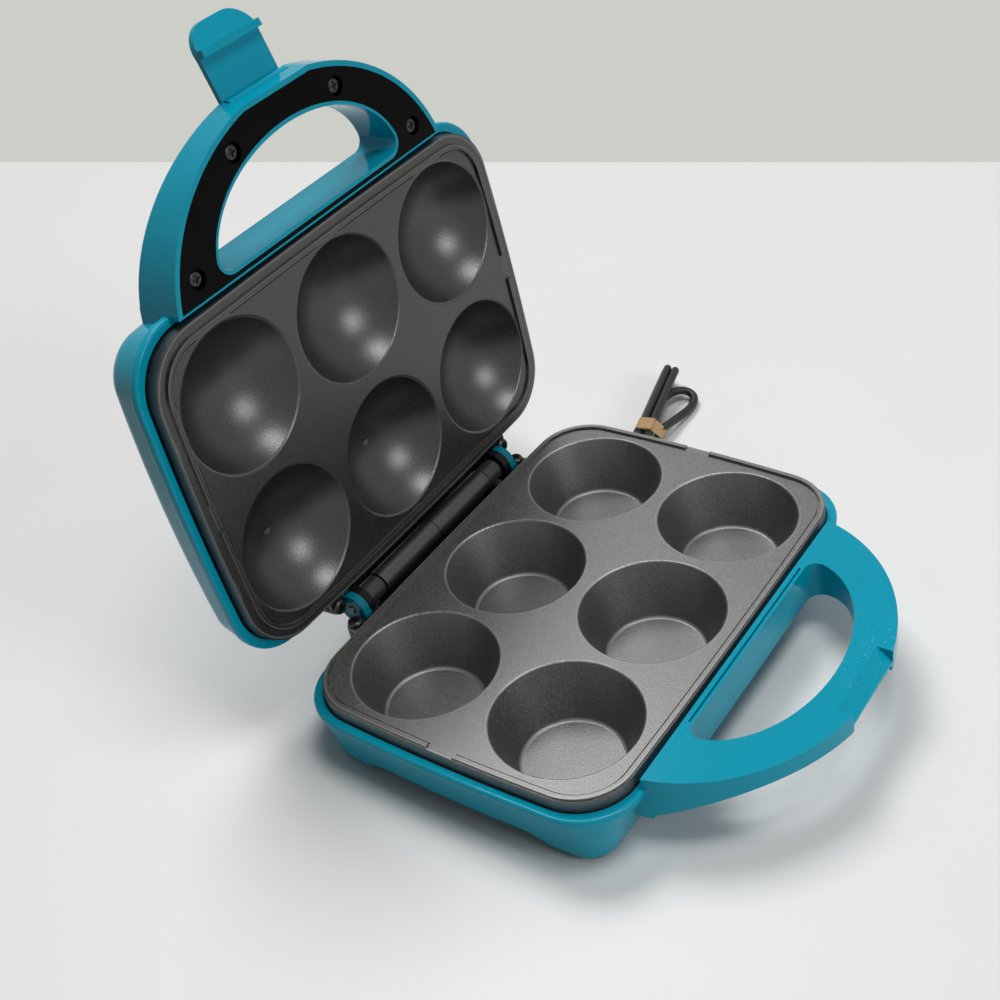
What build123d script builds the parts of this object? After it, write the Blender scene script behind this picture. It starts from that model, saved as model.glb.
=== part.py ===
"""Six-cup countertop cake maker with a hinged lid, built piece by piece.

Frame: millimetres, +Z up, origin on the bench under the middle of the cup grid.  X runs along the
hinge, the handle is at -Y and the hinge at +Y.  The lid stands open, leaning back on its stop.

Both halves share one "half frame": z = 0 is the face of the cooking plate and z grows into the
housing.  The base uses it mirrored downwards, the lid uses it upwards and is then swung open.
"""
from build123d import *
import math
import os

os.makedirs("parts", exist_ok=True)

# ---------------------------------------------------------------- driving dimensions
# Cup grid
columns = 3
rows = 2
column_pitch = 66.0
row_pitch = 67.6
cup_mouth_r = 30.4
cup_floor_r = 21.2
cup_depth = 24.3
cup_rim_round = 0.7
cup_floor_round = 1.6
dome_mouth_r = 30.3
dome_depth = 18.0
dome_rim_round = 1.2
cup_wall = 1.8

# Cooking plates: a rounded rectangle with slightly bowed sides
plate_margin_x = 7.2
plate_margin_y = 8.1
side_bow_x = 2.4
side_bow_y = 1.4
plate_corner = 24.0
plate_thick = 2.2
skirt_wall = 1.8
skirt_depth = 9.5
bead_width = 1.9
bead_height = 1.0
bead_inset = 0.5
groove_width = 1.0
groove_depth = 0.6
lid_bead_inset = 4.2
vent_half_width = 6.0
plate_gap = 2.3

# Housing lips and walls
lip_start = 5.5
lip_height = 4.0
lip_out = 4.2
lip_clear = 0.8
lip_round = 1.2
wall = 2.5
wall_top_in = 2.0
ledge_height = 2.0
ledge_in = 2.4
base_wall_low_x_inside_edge = 2.0
base_wall_low_y_inside_edge = 4.8
base_wall_low_corner = 12.0
wall_top_corner = 20.0
base_rim_depth = 27.0
foot_depth = 33.0
foot_pad_out = 2.0
rim_flange = 2.5
floor_open_x_inside_edge = 11.6
floor_open_y_inside_edge = 12.8
floor_open_corner = 26.0
arch_round = 9.0
side_arch_half = 36.0
front_arch_half = 66.0
arch_run = 12.0
foot_edge_round = 2.0
lid_crown = 34.0
lid_crown_radius = 900.0
lid_wall_high_x_inside_edge = 1.8
lid_wall_high_y_inside_edge = 2.3
lid_shoulder_round = 9.0

# Handles: the outer edge is part of an ellipse, the finger opening is half an ellipse
grip_centre_y_inside_edge = 11.2
grip_a = 81.4
grip_b = 69.8
grip_root_y_past_edge = 2.0
grip_front_y_past_edge = 56.7
opening_a = 54.0
opening_front_y_past_edge = 41.9
opening_back_y_past_edge = 6.2
opening_corner = 5.0
grip_wall = 2.5
bar_groove_half = 47.5
bar_groove_width = 1.0
bar_groove_depth = 1.2
root_depth = 20.8
grip_root_in = 3.4
fill_half = 27.0
lower_grip_back_depth = 16.8
lower_grip_mid_y_past_edge = 19.7
lower_grip_mid_depth = 13.6
lower_grip_front_depth = 9.8
upper_grip_mid_y_past_edge = 30.7
upper_grip_mid_height = 17.8
upper_grip_front_height = 12.0
cover_thick = 2.0
cover_rim_out = 2.3
cover_rim_in = 1.8
cover_fit = 0.15
cover_screw_front = (29.7, 43.7)
cover_screw_back = (65.3, 11.2)
cover_back_y_past_edge = 2.9
cover_cup_r = 4.9
cover_cup_depth = 4.5
cover_recess = 2.6
handle_boss_r = 3.2
handle_screw_tip = 9.5

# Hinge
hinge_y_past_edge = 9.1
hinge_centre_x = 3.0
hinge_open_deg = 96.0
barrel_r = 5.5
barrel_bore = 3.0
barrel_outer_end = 39.0
barrel_split_gap = 0.4
barrel_end_wall = 6.0
spigot_r = 4.3
spigot_length = 5.0
running_fit = 0.05
running_gap = 0.5
collar_length = 10.0
collar_gap = 0.5
collar_r = 5.2
ear_start = 50.0
ear_thick = 3.6
ear_gap = 0.3
ear_r = 7.0
ear_root_y_past_edge = 1.3
ear_depth = 14.0
pin_r = 2.0
pin_inner_end = 34.5
pin_outer_over = 0.8
bracket_web_front = 4.4
bracket_mid = 20.0
bracket_y_past_edge = 4.7
bracket_depth = 24.5
bracket_foot_half = 8.9
bracket_foot_thick = 6.8
bracket_foot_clear = 0.3
bracket_foot_y_inside_edge = 11.3
bracket_screw_half = 5.5
bracket_screw_y_inside_edge = 7.3
bracket_screw_seat = 20.6
bracket_channel_half = 2.2
shelf_y_inside_edge = 12.8
stop_half_width = 14.5
shield_width = 6.0
shield_depth = 5.0
shield_thick = 3.0
stop_thick = 3.0
stop_reach = 9.5
stop_clear = 0.3

# Plate screws beside the hinge
plate_screw_half = 61.6
plate_screw_y_past_edge = 4.7
boss_r = 3.8
tab_thick = 1.6
tab_r = 3.6
tab_top = 1.8
tongue_clear = 0.3
boss_depth = 16.0

# Latch
latch_half_width = 16.0
latch_side_clear = 0.3
latch_pivot_y_past_edge = 54.9
latch_pivot_z = 10.4
latch_knuckle_r = 2.5
latch_pin_r = 1.2
latch_plate = 2.2
latch_face_clear = 0.3
latch_open_deg = 103.0
hook_reach = 3.0
hook_thick = 3.0
hook_clear = 0.3
tab_length = 11.3
tab_corner = 11.0
tab_lean = 2.5
knuckle_clear = 0.35
ramp_half = 18.5
ramp_top_y_past_edge = 50.1
ramp_bottom_in = 0.6
ramp_bottom_lip = 1.0
catch_depth = 6.0
latch_fill_back = 8.0
catch_fill_back = 13.0
cheek_wall = 4.0

# Fasteners: shank radius, head radius, head height
plate_screw = (1.9, 3.3, 2.4)
cover_screw = (1.4, 3.1, 1.5)
small_screw = (1.4, 2.8, 1.6)
post_screw_length = 7.0
screw_recess_r = 0.8
screw_bottom_gap = 0.5

# Heating and wiring inside
element_r = 3.25
element_half_x_inside_edge = 6.8
element_half_y_inside_edge = 7.65
element_corner = 20.0
lower_element_depth = 14.0
upper_element_depth = 9.5
rib_thick = 3.0
element_seat = 0.1
element_break_x = 33.0
element_break_half = 13.0
terminal_length = 9.0
terminal_r = 1.4
reflector_thick = 0.6
lower_reflector_depth = 27.0
upper_reflector_depth = 22.0
reflector_half_x_inside_edge = 15.1
reflector_half_y_inside_edge = 16.8
reflector_corner = 24.0
post_x = 33.0
post_y = 52.0
post_r = 3.5
thermostat_r = 8.0
thermostat_height = 9.0
fuse_r = 1.8
fuse_length = 14.0
block_size = (22.0, 12.0, 9.0)
block_place_x = 33.0
block_screw_place = (33.0, 0.0)
block_screw_in = 5.0
lead_r = 1.1
cable_r = 1.6
lead_bend = 2.2

# Bottom cover and feet
cover_floor_up = 1.8
cover_sheet = 1.6
cover_dish_clear = 0.3
cover_flange_x_inside_edge = 6.1
cover_flange_y_inside_edge = 6.1
cover_flange_corner = 12.0
cover_screw_x = 48.0
cover_screw_y_inside_edge = 9.3
cover_boss_r = 3.2
cover_boss_depth = 18.5
foot_x_inside_edge = 13.2
foot_y_inside_edge = 14.9
foot_pad_r = 6.5
foot_stub_r = 2.5
foot_stub = 4.0
vent_slot = (26.0, 2.6)
vent_rows = 5
vent_pitch = 9.0
vent_group_x = 36.0
cover_flange_back = 2.8

# Indicator lamps in the lid
lens_r = 3.2
lens_spacing = 22.0
lens_y_inside_edge = 14.8
lens_proud = 0.8
lens_depth = 5.0
lamp_r = 1.8
lamp_length = 9.0

# Mains cord
cord_r = 2.1
cord_exit_x = 33.0
cord_exit_z = 15.5
relief_length = 20.0
relief_root_r = 4.0
relief_tip_r = 2.9
relief_flange_r = 4.9
relief_flange = 2.0
clamp_width = 6.0
clamp_screw_half = 8.0
clamp_ear = 2.5
gland_pad_y_inside_edge = 4.8
gland_pad_thick = 5.7

# ---------------------------------------------------------------- worked-out places
plate_half_x = (columns - 1) / 2 * column_pitch + cup_mouth_r + plate_margin_x
plate_half_y = (rows - 1) / 2 * row_pitch + cup_mouth_r + plate_margin_y
base_wall_low_x = plate_half_x - base_wall_low_x_inside_edge
floor_open_x = plate_half_x - floor_open_x_inside_edge
lid_wall_high_x = plate_half_x - lid_wall_high_x_inside_edge
element_half_x = plate_half_x - element_half_x_inside_edge
reflector_half_x = plate_half_x - reflector_half_x_inside_edge
cover_flange_x = plate_half_x - cover_flange_x_inside_edge
foot_x = plate_half_x - foot_x_inside_edge
base_wall_low_y = plate_half_y - base_wall_low_y_inside_edge
floor_open_y = plate_half_y - floor_open_y_inside_edge
lid_wall_high_y = plate_half_y - lid_wall_high_y_inside_edge
element_half_y = plate_half_y - element_half_y_inside_edge
reflector_half_y = plate_half_y - reflector_half_y_inside_edge
cover_flange_y = plate_half_y - cover_flange_y_inside_edge
foot_y = plate_half_y - foot_y_inside_edge
hinge_y = plate_half_y + hinge_y_past_edge
ear_root_y = plate_half_y + ear_root_y_past_edge
bracket_y = plate_half_y + bracket_y_past_edge
bracket_foot_y = plate_half_y - bracket_foot_y_inside_edge
bracket_screw_y = plate_half_y - bracket_screw_y_inside_edge
shelf_y = plate_half_y - shelf_y_inside_edge
plate_screw_y = plate_half_y + plate_screw_y_past_edge
gland_pad_y = plate_half_y - gland_pad_y_inside_edge
cover_screw_y = plate_half_y - cover_screw_y_inside_edge
grip_centre_y = -(plate_half_y - grip_centre_y_inside_edge)
grip_root_y = -(plate_half_y + grip_root_y_past_edge)
grip_front_y = -(plate_half_y + grip_front_y_past_edge)
opening_front_y = -(plate_half_y + opening_front_y_past_edge)
opening_back_y = -(plate_half_y + opening_back_y_past_edge)
lower_grip_mid_y = -(plate_half_y + lower_grip_mid_y_past_edge)
upper_grip_mid_y = -(plate_half_y + upper_grip_mid_y_past_edge)
cover_back_y = -(plate_half_y + cover_back_y_past_edge)
latch_pivot_y = -(plate_half_y + latch_pivot_y_past_edge)
ramp_top_y = -(plate_half_y + ramp_top_y_past_edge)
lens_y = -(plate_half_y - lens_y_inside_edge)
bench_to_plate = foot_depth + foot_pad_out
cover_floor_depth = foot_depth - cover_floor_up
plate_z = bench_to_plate
axis_z = plate_z + plate_gap / 2
axis_depth = -plate_gap / 2
wall_start = lip_start + lip_height
lip_half_x = plate_half_x + lip_out
lip_half_y = plate_half_y + lip_out - 0.2
wall_top_x = lip_half_x - wall_top_in
wall_top_y = lip_half_y - wall_top_in
cup_taper = (cup_mouth_r - cup_floor_r) / cup_depth
dome_sphere = (dome_mouth_r**2 + dome_depth**2) / (2 * dome_depth)
cup_places = [
    ((i - (columns - 1) / 2) * column_pitch, (j - (rows - 1) / 2) * row_pitch)
    for i in range(columns)
    for j in range(rows)
]


# ---------------------------------------------------------------- helpers
def outline(half_x, half_y, corner, bow_x=side_bow_x, bow_y=side_bow_y):
    """Rounded rectangle face whose four sides bow outwards by bow_x and bow_y at their middles."""
    x, y = half_x - bow_x, half_y - bow_y
    sides = [
        ThreePointArc((x, -y), (half_x, 0), (x, y)),
        ThreePointArc((x, y), (0, half_y), (-x, y)),
        ThreePointArc((-x, y), (-half_x, 0), (-x, -y)),
        ThreePointArc((-x, -y), (0, -half_y), (x, -y)),
    ]
    face = make_face(sides)
    return fillet(face.vertices(), corner)


def slab(face, start, end):
    """A flat face made a prism from height start to height end."""
    return extrude(Pos(0, 0, start) * face, end - start, dir=(0, 0, 1))


def grown(offset, corner_extra=0.0):
    """The plate's outline, larger all round by offset."""
    corner = plate_corner + offset + corner_extra
    return outline(plate_half_x + offset, plate_half_y + offset, corner)


def block(x0, x1, y0, y1, z0, z1):
    """A box given by its two limits along each axis."""
    return Pos((x0 + x1) / 2, (y0 + y1) / 2, (z0 + z1) / 2) * Box(x1 - x0, y1 - y0, z1 - z0)


def rod_z(x, y, r, z0, z1):
    """A cylinder along Z."""
    return Pos(x, y, (z0 + z1) / 2) * Cylinder(r, z1 - z0)


def rod_y(x, z, r, y0, y1):
    """A cylinder along Y."""
    return Pos(x, (y0 + y1) / 2, z) * Rot(90, 0, 0) * Cylinder(r, y1 - y0)


def rod_x(x0, x1, y, z, r):
    """A cylinder along X."""
    return Pos((x0 + x1) / 2, y, z) * Rot(0, 90, 0) * Cylinder(r, x1 - x0)


def tube_along(points, radii, r):
    """A round rod along straight runs joined by tangent arcs."""
    path = FilletPolyline(*points, radius=radii) if len(points) > 2 else Line(*points)
    section = Plane(origin=path @ 0, z_dir=path % 0) * Circle(r)
    return sweep(section, path=path)


def to_base(piece):
    """From the half frame to the base: turned downwards from the cup plate's face."""
    return Pos(0, 0, plate_z) * mirror(piece, about=Plane.XY)


def to_lid(piece):
    """From the half frame to the open lid."""
    closed = Pos(0, 0, plate_z + plate_gap) * piece
    return swing(closed, hinge_y, axis_z, -hinge_open_deg)


def swing(piece, y, z, degrees):
    """Turn a piece about a line parallel to X through (y, z)."""
    return Pos(0, y, z) * Rot(degrees, 0, 0) * Pos(0, -y, -z) * piece


def to_latch(piece):
    """From the half frame, latch hanging closed, to the opened latch on the open lid."""
    return to_lid(swing(piece, latch_pivot_y, latch_pivot_z, -latch_open_deg))


def as_group(pieces):
    """Separate solids kept together in one node."""
    return Compound(children=[s for p in pieces for s in p.solids()])


def save(name, piece):
    """Write one node."""
    solids = piece.solids()
    export_step(solids[0] if len(solids) == 1 else Compound(children=solids), f"parts/{name}.step")


def screw(x, y, seat, tip, size, turned=1):
    """A pan-head screw along Z: its head sits on height seat and its shank runs to height tip."""
    shank_r, head_r, head_h = size
    away = -1 if tip > seat else 1
    head = rod_z(x, y, head_r, min(seat, seat + away * head_h), max(seat, seat + away * head_h))
    top = head.faces().sort_by(Axis.Z)[-1 if away > 0 else 0]
    head = fillet(top.edges(), head_h * 0.55)
    cross = Pos(x, y, seat + away * head_h) * (
        Box(head_r * 1.1, head_r * 0.28, head_h) + Box(head_r * 0.28, head_r * 1.1, head_h)
    )
    return (head - cross) + rod_z(x, y, shank_r, min(seat, tip), max(seat, tip))


# ---------------------------------------------------------------- cooking plates
def element_outline(offset=0.0):
    """The heating element's centre line as a face, larger all round by offset."""
    size = (2 * (element_half_x + offset), 2 * (element_half_y + offset))
    return RectangleRounded(*size, element_corner + offset)


def plate_body(element_depth, post_depth, rim_inset):
    """Face sheet, skirt, rim bead, heater rib and screw posts shared by both plates."""
    body = slab(grown(0), 0, plate_thick)
    body += slab(grown(0) - grown(-skirt_wall), 0, skirt_depth)
    bead = slab(grown(-rim_inset) - grown(-rim_inset - bead_width), -bead_height, 0)
    groove = slab(
        grown(-rim_inset - bead_width) - grown(-rim_inset - bead_width - groove_width), 0, groove_depth
    )
    reach = plate_half_x + 1
    vents = block(-reach, reach, -vent_half_width, vent_half_width, -bead_height - 1, groove_depth + 1)
    body = body + (bead - vents) - (groove - vents)
    rib = element_outline(rib_thick / 2) - element_outline(-rib_thick / 2)
    body += slab(rib, plate_thick, element_depth - element_r - element_seat)
    for x in (-post_x, post_x):
        for y in (-post_y, post_y):
            body += rod_z(x, y, post_r, plate_thick, post_depth)
            body -= rod_z(x, y, small_screw[0] + running_fit, post_depth - 8.0, post_depth)
    for side in (-1, 1):
        x = hinge_centre_x + side * plate_screw_half
        back = block(x - tab_r, x + tab_r, plate_half_y - skirt_wall, plate_screw_y, tab_top, tab_top + tab_thick)
        body += back + rod_z(x, plate_screw_y, tab_r, tab_top, tab_top + tab_thick)
        body -= rod_z(x, plate_screw_y, plate_screw[0] + 0.2, tab_top - 1, tab_top + tab_thick + 1)
        body += tongue(side, 0.0)
    return body


def tongue(side, grow):
    """Front tongue of the plate, or with grow its pocket in the housing lip."""
    mid = side * 36.0
    return block(
        mid - 6 - grow, mid + 6 + grow, -plate_half_y - 2.4 - grow, -plate_half_y + 1.0, 7.0 - grow, 8.6 + grow
    )


def cup_plate():
    """Lower plate: six flat-floored cups with drafted walls."""
    body = plate_body(lower_element_depth, lower_reflector_depth, bead_inset)
    side = cup_wall * math.sqrt(1 + cup_taper**2)
    for x, y in cup_places:
        outer_low = cup_floor_r + side - cup_taper * cup_wall
        shell = Cone(cup_mouth_r + side, outer_low, cup_depth + cup_wall)
        body += Pos(x, y, (cup_depth + cup_wall) / 2) * shell
    for x, y in cup_places:
        body -= Pos(x, y, cup_depth / 2) * Cone(cup_mouth_r, cup_floor_r, cup_depth)
    rims = body.edges().filter_by(GeomType.CIRCLE)
    mouths = [e for e in rims if abs(e.radius - cup_mouth_r) < 0.01 and abs(e.center().Z) < 0.01]
    body = fillet(mouths, cup_rim_round)
    floors = [
        e
        for e in body.edges().filter_by(GeomType.CIRCLE)
        if abs(e.radius - cup_floor_r) < 0.01 and abs(e.arc_center.Z - cup_depth) < 0.01
    ]
    return fillet(floors, cup_floor_round)


def dome_plate():
    """Upper plate: six shallow spherical domes over the cups."""
    body = plate_body(upper_element_depth, upper_reflector_depth, lid_bead_inset)
    above = block(-300, 300, -300, 300, 0, 100)
    centre_z = dome_depth - dome_sphere
    for x, y in cup_places:
        body += (Pos(x, y, centre_z) * Sphere(dome_sphere + cup_wall)) & above
    for x, y in cup_places:
        body -= (Pos(x, y, centre_z) * Sphere(dome_sphere)) & above
    rims = body.edges().filter_by(GeomType.CIRCLE)
    mouths = [e for e in rims if abs(e.radius - dome_mouth_r) < 0.01 and abs(e.arc_center.Z) < 0.01]
    return fillet(mouths, dome_rim_round)


# ---------------------------------------------------------------- handle shapes
def ellipse_part(inset, y_from, y_to):
    """The grip's elliptical plan between two y values, drawn in by inset."""
    oval = Pos(0, grip_centre_y) * Ellipse(grip_a - inset, grip_b - inset)
    return oval & Pos(0, (y_from + y_to) / 2) * Rectangle(4 * grip_a, y_to - y_from)


def opening_face(grow=0.0):
    """Half-ellipse finger opening with rounded ends, larger all round by grow."""
    back = opening_back_y + grow
    b = back - opening_front_y + grow
    oval = Pos(0, back) * Ellipse(opening_a + grow, b)
    half = oval & Pos(0, back - b) * Rectangle(4 * opening_a, 2 * b)
    corners = [v for v in half.vertices() if abs(v.Y - back) < 0.01]
    return fillet(corners, opening_corner + grow)


def under(curve):
    """Everything between the parting face and a grip's outer curve."""
    a, b = curve @ 0, curve @ 1
    rim = Polyline(b, (0, b.Y, -1), (0, a.Y, -1), a)
    return extrude(make_face([curve, rim]), grip_a + 5, both=True)


def grip(curve, hollow_start, hollow, fill_back):
    """Handle ring of one half, with its root on the body wall, cored out but for the middle of the front."""
    ring = ellipse_part(0, grip_front_y, grip_root_y) - opening_face()
    root = ellipse_part(0, grip_root_y - grip_root_in, grip_root_y + grip_root_in)
    body = (slab(ring, 0, 2 * root_depth) & under(curve)) + slab(root, wall_start, root_depth)
    core = ellipse_part(grip_wall, grip_front_y + grip_wall, grip_root_y - grip_wall) - opening_face(grip_wall)
    room = slab(core, hollow_start, 2 * root_depth)
    room -= block(-fill_half, fill_half, grip_front_y - 5, grip_front_y + fill_back, -5, 3 * root_depth)
    return body - (room & hollow)


def lower_curve():
    """Underside of the lower grip: drops from the body, then runs almost level to the front."""
    return Spline(
        (0, grip_root_y + 1, root_depth),
        (0, opening_back_y - 5.0, lower_grip_back_depth),
        (0, lower_grip_mid_y, lower_grip_mid_depth),
        (0, grip_front_y - 3, lower_grip_front_depth),
    )


def upper_curve(inset=0.0):
    """Back of the upper grip: one long arc falling to the front, drawn in by inset."""
    return ThreePointArc(
        (0, grip_root_y + 1, root_depth - inset),
        (0, upper_grip_mid_y, upper_grip_mid_height - inset),
        (0, grip_front_y - 3, upper_grip_front_height - inset),
    )


# ---------------------------------------------------------------- housings
def wall_loft(low_x, low_y, low_corner, low_z, inset=0.0):
    """Drafted body wall from the lip to height low_z, drawn in by inset."""
    top = outline(wall_top_x - inset, wall_top_y - inset, wall_top_corner - inset)
    low = outline(low_x - inset, low_y - inset, low_corner - inset)
    return loft([Pos(0, 0, wall_start) * top, Pos(0, 0, low_z) * low], ruled=True)


def lip_ring():
    """Rounded lip that stands out round the plate."""
    ring = slab(outline(lip_half_x, lip_half_y, plate_corner + 2), lip_start, wall_start)
    outer = [e for e in ring.edges() if abs(e.center().Z - lip_start) < 0.01 or abs(e.center().Z - wall_start) < 0.01]
    ring = fillet(outer, lip_round)
    return ring - slab(grown(lip_clear), lip_start - 1, wall_start + 1)


def ear_range(side, outer):
    """The x limits of a hinge ear: outer ears belong to the base, inner ears to the lid."""
    near = ear_start + (ear_thick + ear_gap if outer else 0)
    a, b = hinge_centre_x + side * near, hinge_centre_x + side * (near + ear_thick)
    return min(a, b), max(a, b)


def ear(side, outer):
    """Hinge ear: a disc round the axis with a gusset down to the rear wall."""
    x0, x1 = ear_range(side, outer)
    shape = Polyline(
        (x0, ear_root_y, axis_depth),
        (x0, hinge_y + ear_r, axis_depth),
        (x0, plate_half_y + 2.2, ear_depth + 6),
        (x0, plate_half_y - 2.0, ear_depth + 6),
        (x0, plate_half_y + 0.2, wall_start + 0.3),
        (x0, ear_root_y, wall_start - 0.1),
        close=True,
    )
    gusset = extrude(make_face(shape), x1 - x0, dir=(1, 0, 0))
    return rod_x(x0, x1, hinge_y, axis_depth, ear_r) + gusset


def bracket_middle(side):
    """Where the hinge bracket of one half stands: the base's at side -1, the lid's at +1."""
    return hinge_centre_x + side * bracket_mid


def screw_places(side):
    """The plate screw beside the hinge at one end."""
    return hinge_centre_x + side * plate_screw_half, plate_screw_y


def with_rear_fittings(body, outer_ears, bracket_side):
    """Add the ears, screw bosses, front pockets and bracket window of one housing half."""
    for side in (-1, 1):
        x, y = screw_places(side)
        body += ear(side, outer_ears)
        body += rod_z(x, y, boss_r, tab_top + tab_thick, boss_depth)
        body -= rod_z(x, y, plate_screw[0] + running_fit, tab_top, boss_depth - 2)
        body -= tongue(side, tongue_clear)
    reach = ear_start + 3 * ear_thick
    x0, x1 = hinge_centre_x - reach, hinge_centre_x + reach
    body -= rod_x(x0, x1, hinge_y, axis_depth, pin_r + running_fit)
    mid = bracket_middle(bracket_side)
    half = bracket_foot_half + bracket_foot_clear
    top = bracket_depth - bracket_foot_thick - bracket_foot_clear
    body -= block(mid - half, mid + half, plate_half_y - 12, bracket_y - 1, top, bracket_depth)
    return body


def base_housing():
    """Base shell with its lip, feet, arches, lower grip, catch and hinge ears."""
    low = (base_wall_low_x, base_wall_low_y, base_wall_low_corner, foot_depth)
    flange_start = base_rim_depth - rim_flange
    ledge_end = wall_start + ledge_height
    everywhere = block(-300, 300, -300, 300, ledge_end, flange_start)
    body = wall_loft(*low) - (wall_loft(*low, inset=wall) & everywhere)
    body -= slab(grown(-ledge_in), wall_start - 1, ledge_end)
    body -= slab(outline(floor_open_x, floor_open_y, floor_open_corner), flange_start - 1, foot_depth + 1)
    body -= arch(front_arch_half, Plane.XZ)
    body -= arch(side_arch_half, Plane.YZ)
    soles = [e for e in body.edges() if e.center().Z > foot_depth - 0.01]
    body = fillet(soles, foot_edge_round)
    body += lip_ring()
    body += grip(lower_curve(), grip_wall, block(-300, 300, -300, 300, 0, 300), catch_fill_back)
    body -= slab(
        Pos(0, grip_root_y - grip_wall) * Rectangle(2 * bar_groove_half, bar_groove_width), -1, bar_groove_depth
    )
    body -= catch_cut()
    body = with_rear_fittings(body, True, -1)
    for x in (-cover_screw_x, cover_screw_x):
        for y in (-cover_screw_y, cover_screw_y):
            body += rod_z(x, y, cover_boss_r, cover_boss_depth, base_rim_depth)
            body -= rod_z(x, y, cover_screw[0] + running_fit, cover_boss_depth, base_rim_depth + 1)
    for x in (-foot_x, foot_x):
        for y in (-foot_y, foot_y):
            body -= rod_z(x, y, foot_stub_r + running_fit, foot_depth - foot_stub - screw_bottom_gap, foot_depth + 1)
    for x, y in clamp_screw_places():
        body -= rod_z(x, y, small_screw[0] + running_fit, flange_start - 1, base_rim_depth + 1)
    for x, y in bracket_screw_places(-1):
        body -= rod_z(x, y, small_screw[0] + running_fit, flange_start - 1, base_rim_depth + 1)
    depth = plate_z - cord_exit_z
    half = relief_flange_r + 2.0
    pad = block(
        cord_exit_x - half, cord_exit_x + half, gland_pad_y, gland_pad_y + gland_pad_thick, depth - half, base_rim_depth
    )
    seat = rod_y(cord_exit_x, depth, relief_flange_r + running_fit, gland_pad_y - relief_flange, gland_pad_y)
    bore_end = gland_pad_y + gland_pad_thick + 1.0
    return body - seat + pad - rod_y(cord_exit_x, depth, relief_root_r + running_fit, gland_pad_y - 1, bore_end)


def arch(half, plane):
    """Raised arch between two feet, with ramps up to each foot."""
    run = arch_run * 1.5
    rise = (foot_depth - base_rim_depth) * 1.5
    sketch = Polyline(
        (-half - run, base_rim_depth + rise),
        (-half, base_rim_depth),
        (half, base_rim_depth),
        (half + run, base_rim_depth + rise),
        close=True,
    )
    face = make_face(sketch)
    inner = [v for v in face.vertices() if abs(v.Y - base_rim_depth) < 0.01]
    face = fillet(inner, arch_round)
    return extrude(plane * face, 300, both=True)


def catch_cut():
    """Sloped front recess of the lower grip and the flat seat that the latch's hook grips."""
    ramp = Polyline(
        (-ramp_half, ramp_top_y, 0),
        (-ramp_half, grip_front_y + ramp_bottom_in, catch_depth - ramp_bottom_lip),
        (-ramp_half, grip_front_y - 1, catch_depth - ramp_bottom_lip),
        (-ramp_half, grip_front_y - 1, -1),
        (-ramp_half, ramp_top_y, -1),
        close=True,
    )
    recess = extrude(make_face(ramp), 2 * ramp_half, dir=(1, 0, 0))
    half = latch_half_width + latch_side_clear + 1.0
    seat = block(-half, half, grip_front_y - 1, grip_front_y + hook_reach + 1.0, catch_depth, catch_depth + 5)
    return recess + seat


def clamp_screw_places():
    """The two screws that hold the cord clamp."""
    y = gland_pad_y - relief_flange - clamp_width / 2
    return [(cord_exit_x + side * clamp_screw_half, y) for side in (-1, 1)]


def bracket_screw_places(side):
    """The two screws in a hinge bracket's foot."""
    return [(bracket_middle(side) + step * bracket_screw_half, bracket_screw_y) for step in (-1, 1)]


def lid_housing():
    """Lid shell with its crown, lip, upper grip, latch slot and hinge ears."""
    high = (lid_wall_high_x, lid_wall_high_y, wall_top_corner - 2, lid_crown)
    crown = Pos(0, 0, lid_crown - lid_crown_radius)
    outer = wall_loft(*high) & (crown * Sphere(lid_crown_radius))
    outer = fillet(crown_edges(outer), lid_shoulder_round)
    inner = wall_loft(*high, inset=wall) & (crown * Sphere(lid_crown_radius - wall))
    inner = fillet(crown_edges(inner), lid_shoulder_round - wall)
    ledge_end = wall_start + ledge_height
    body = outer - (inner & block(-300, 300, -300, 300, ledge_end, 100))
    body -= slab(grown(-ledge_in), wall_start - 1, ledge_end)
    body += lip_ring()
    body += grip(upper_curve(), cover_thick, under(upper_curve(grip_wall)), latch_fill_back)
    body -= slab(handle_cover_face(-cover_fit), -1, cover_thick)
    for x, y in cover_screw_places():
        body += rod_z(x, y, handle_boss_r, cover_cup_depth, 2 * root_depth) & under(upper_curve(1.0))
        body -= rod_z(x, y, cover_cup_r + cover_fit, -1, cover_cup_depth)
        body -= rod_z(x, y, cover_screw[0] + running_fit, 0, handle_screw_tip + screw_bottom_gap)
    half = latch_half_width + latch_side_clear
    floor = latch_pivot_z - latch_knuckle_r - knuckle_clear
    back = latch_pivot_y + latch_knuckle_r + knuckle_clear
    body -= block(-half, half, grip_front_y - 5, back, floor, 100)
    body -= rod_x(-half - cheek_wall, half + cheek_wall, latch_pivot_y, latch_pivot_z, latch_pin_r)
    body = with_rear_fittings(body, False, 1)
    mid = bracket_middle(1)
    shelf = bracket_foot_half + 4.0
    body += block(mid - shelf, mid + shelf, shelf_y, plate_half_y - 1.5, bracket_depth, bracket_depth + rim_flange)
    for x, y in bracket_screw_places(1):
        body -= rod_z(x, y, small_screw[0] + running_fit, bracket_depth - 1, bracket_depth + rim_flange + 1)
    for side in (-1, 1):
        body -= rod_z(side * lens_spacing / 2, lens_y, lens_r + running_fit, lid_crown - 12, lid_crown + 5)
    return body


def crown_edges(shell):
    """The closed edge loop where the drafted wall meets the crown."""
    top = shell.faces().sort_by(Axis.Z)[-1]
    return top.edges()


def handle_cover_face(inset=0.0):
    """Plan of the upper grip's inner cover, smaller all round by inset."""
    rim = ellipse_part(cover_rim_out + inset, grip_front_y + cover_rim_out + inset, cover_back_y - inset)
    return rim - opening_face(cover_rim_in + inset)


def cover_screw_places():
    """Two screws near the front and two near the root."""
    return [(side * x, -(plate_half_y + out)) for x, out in (cover_screw_front, cover_screw_back) for side in (-1, 1)]


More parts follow.
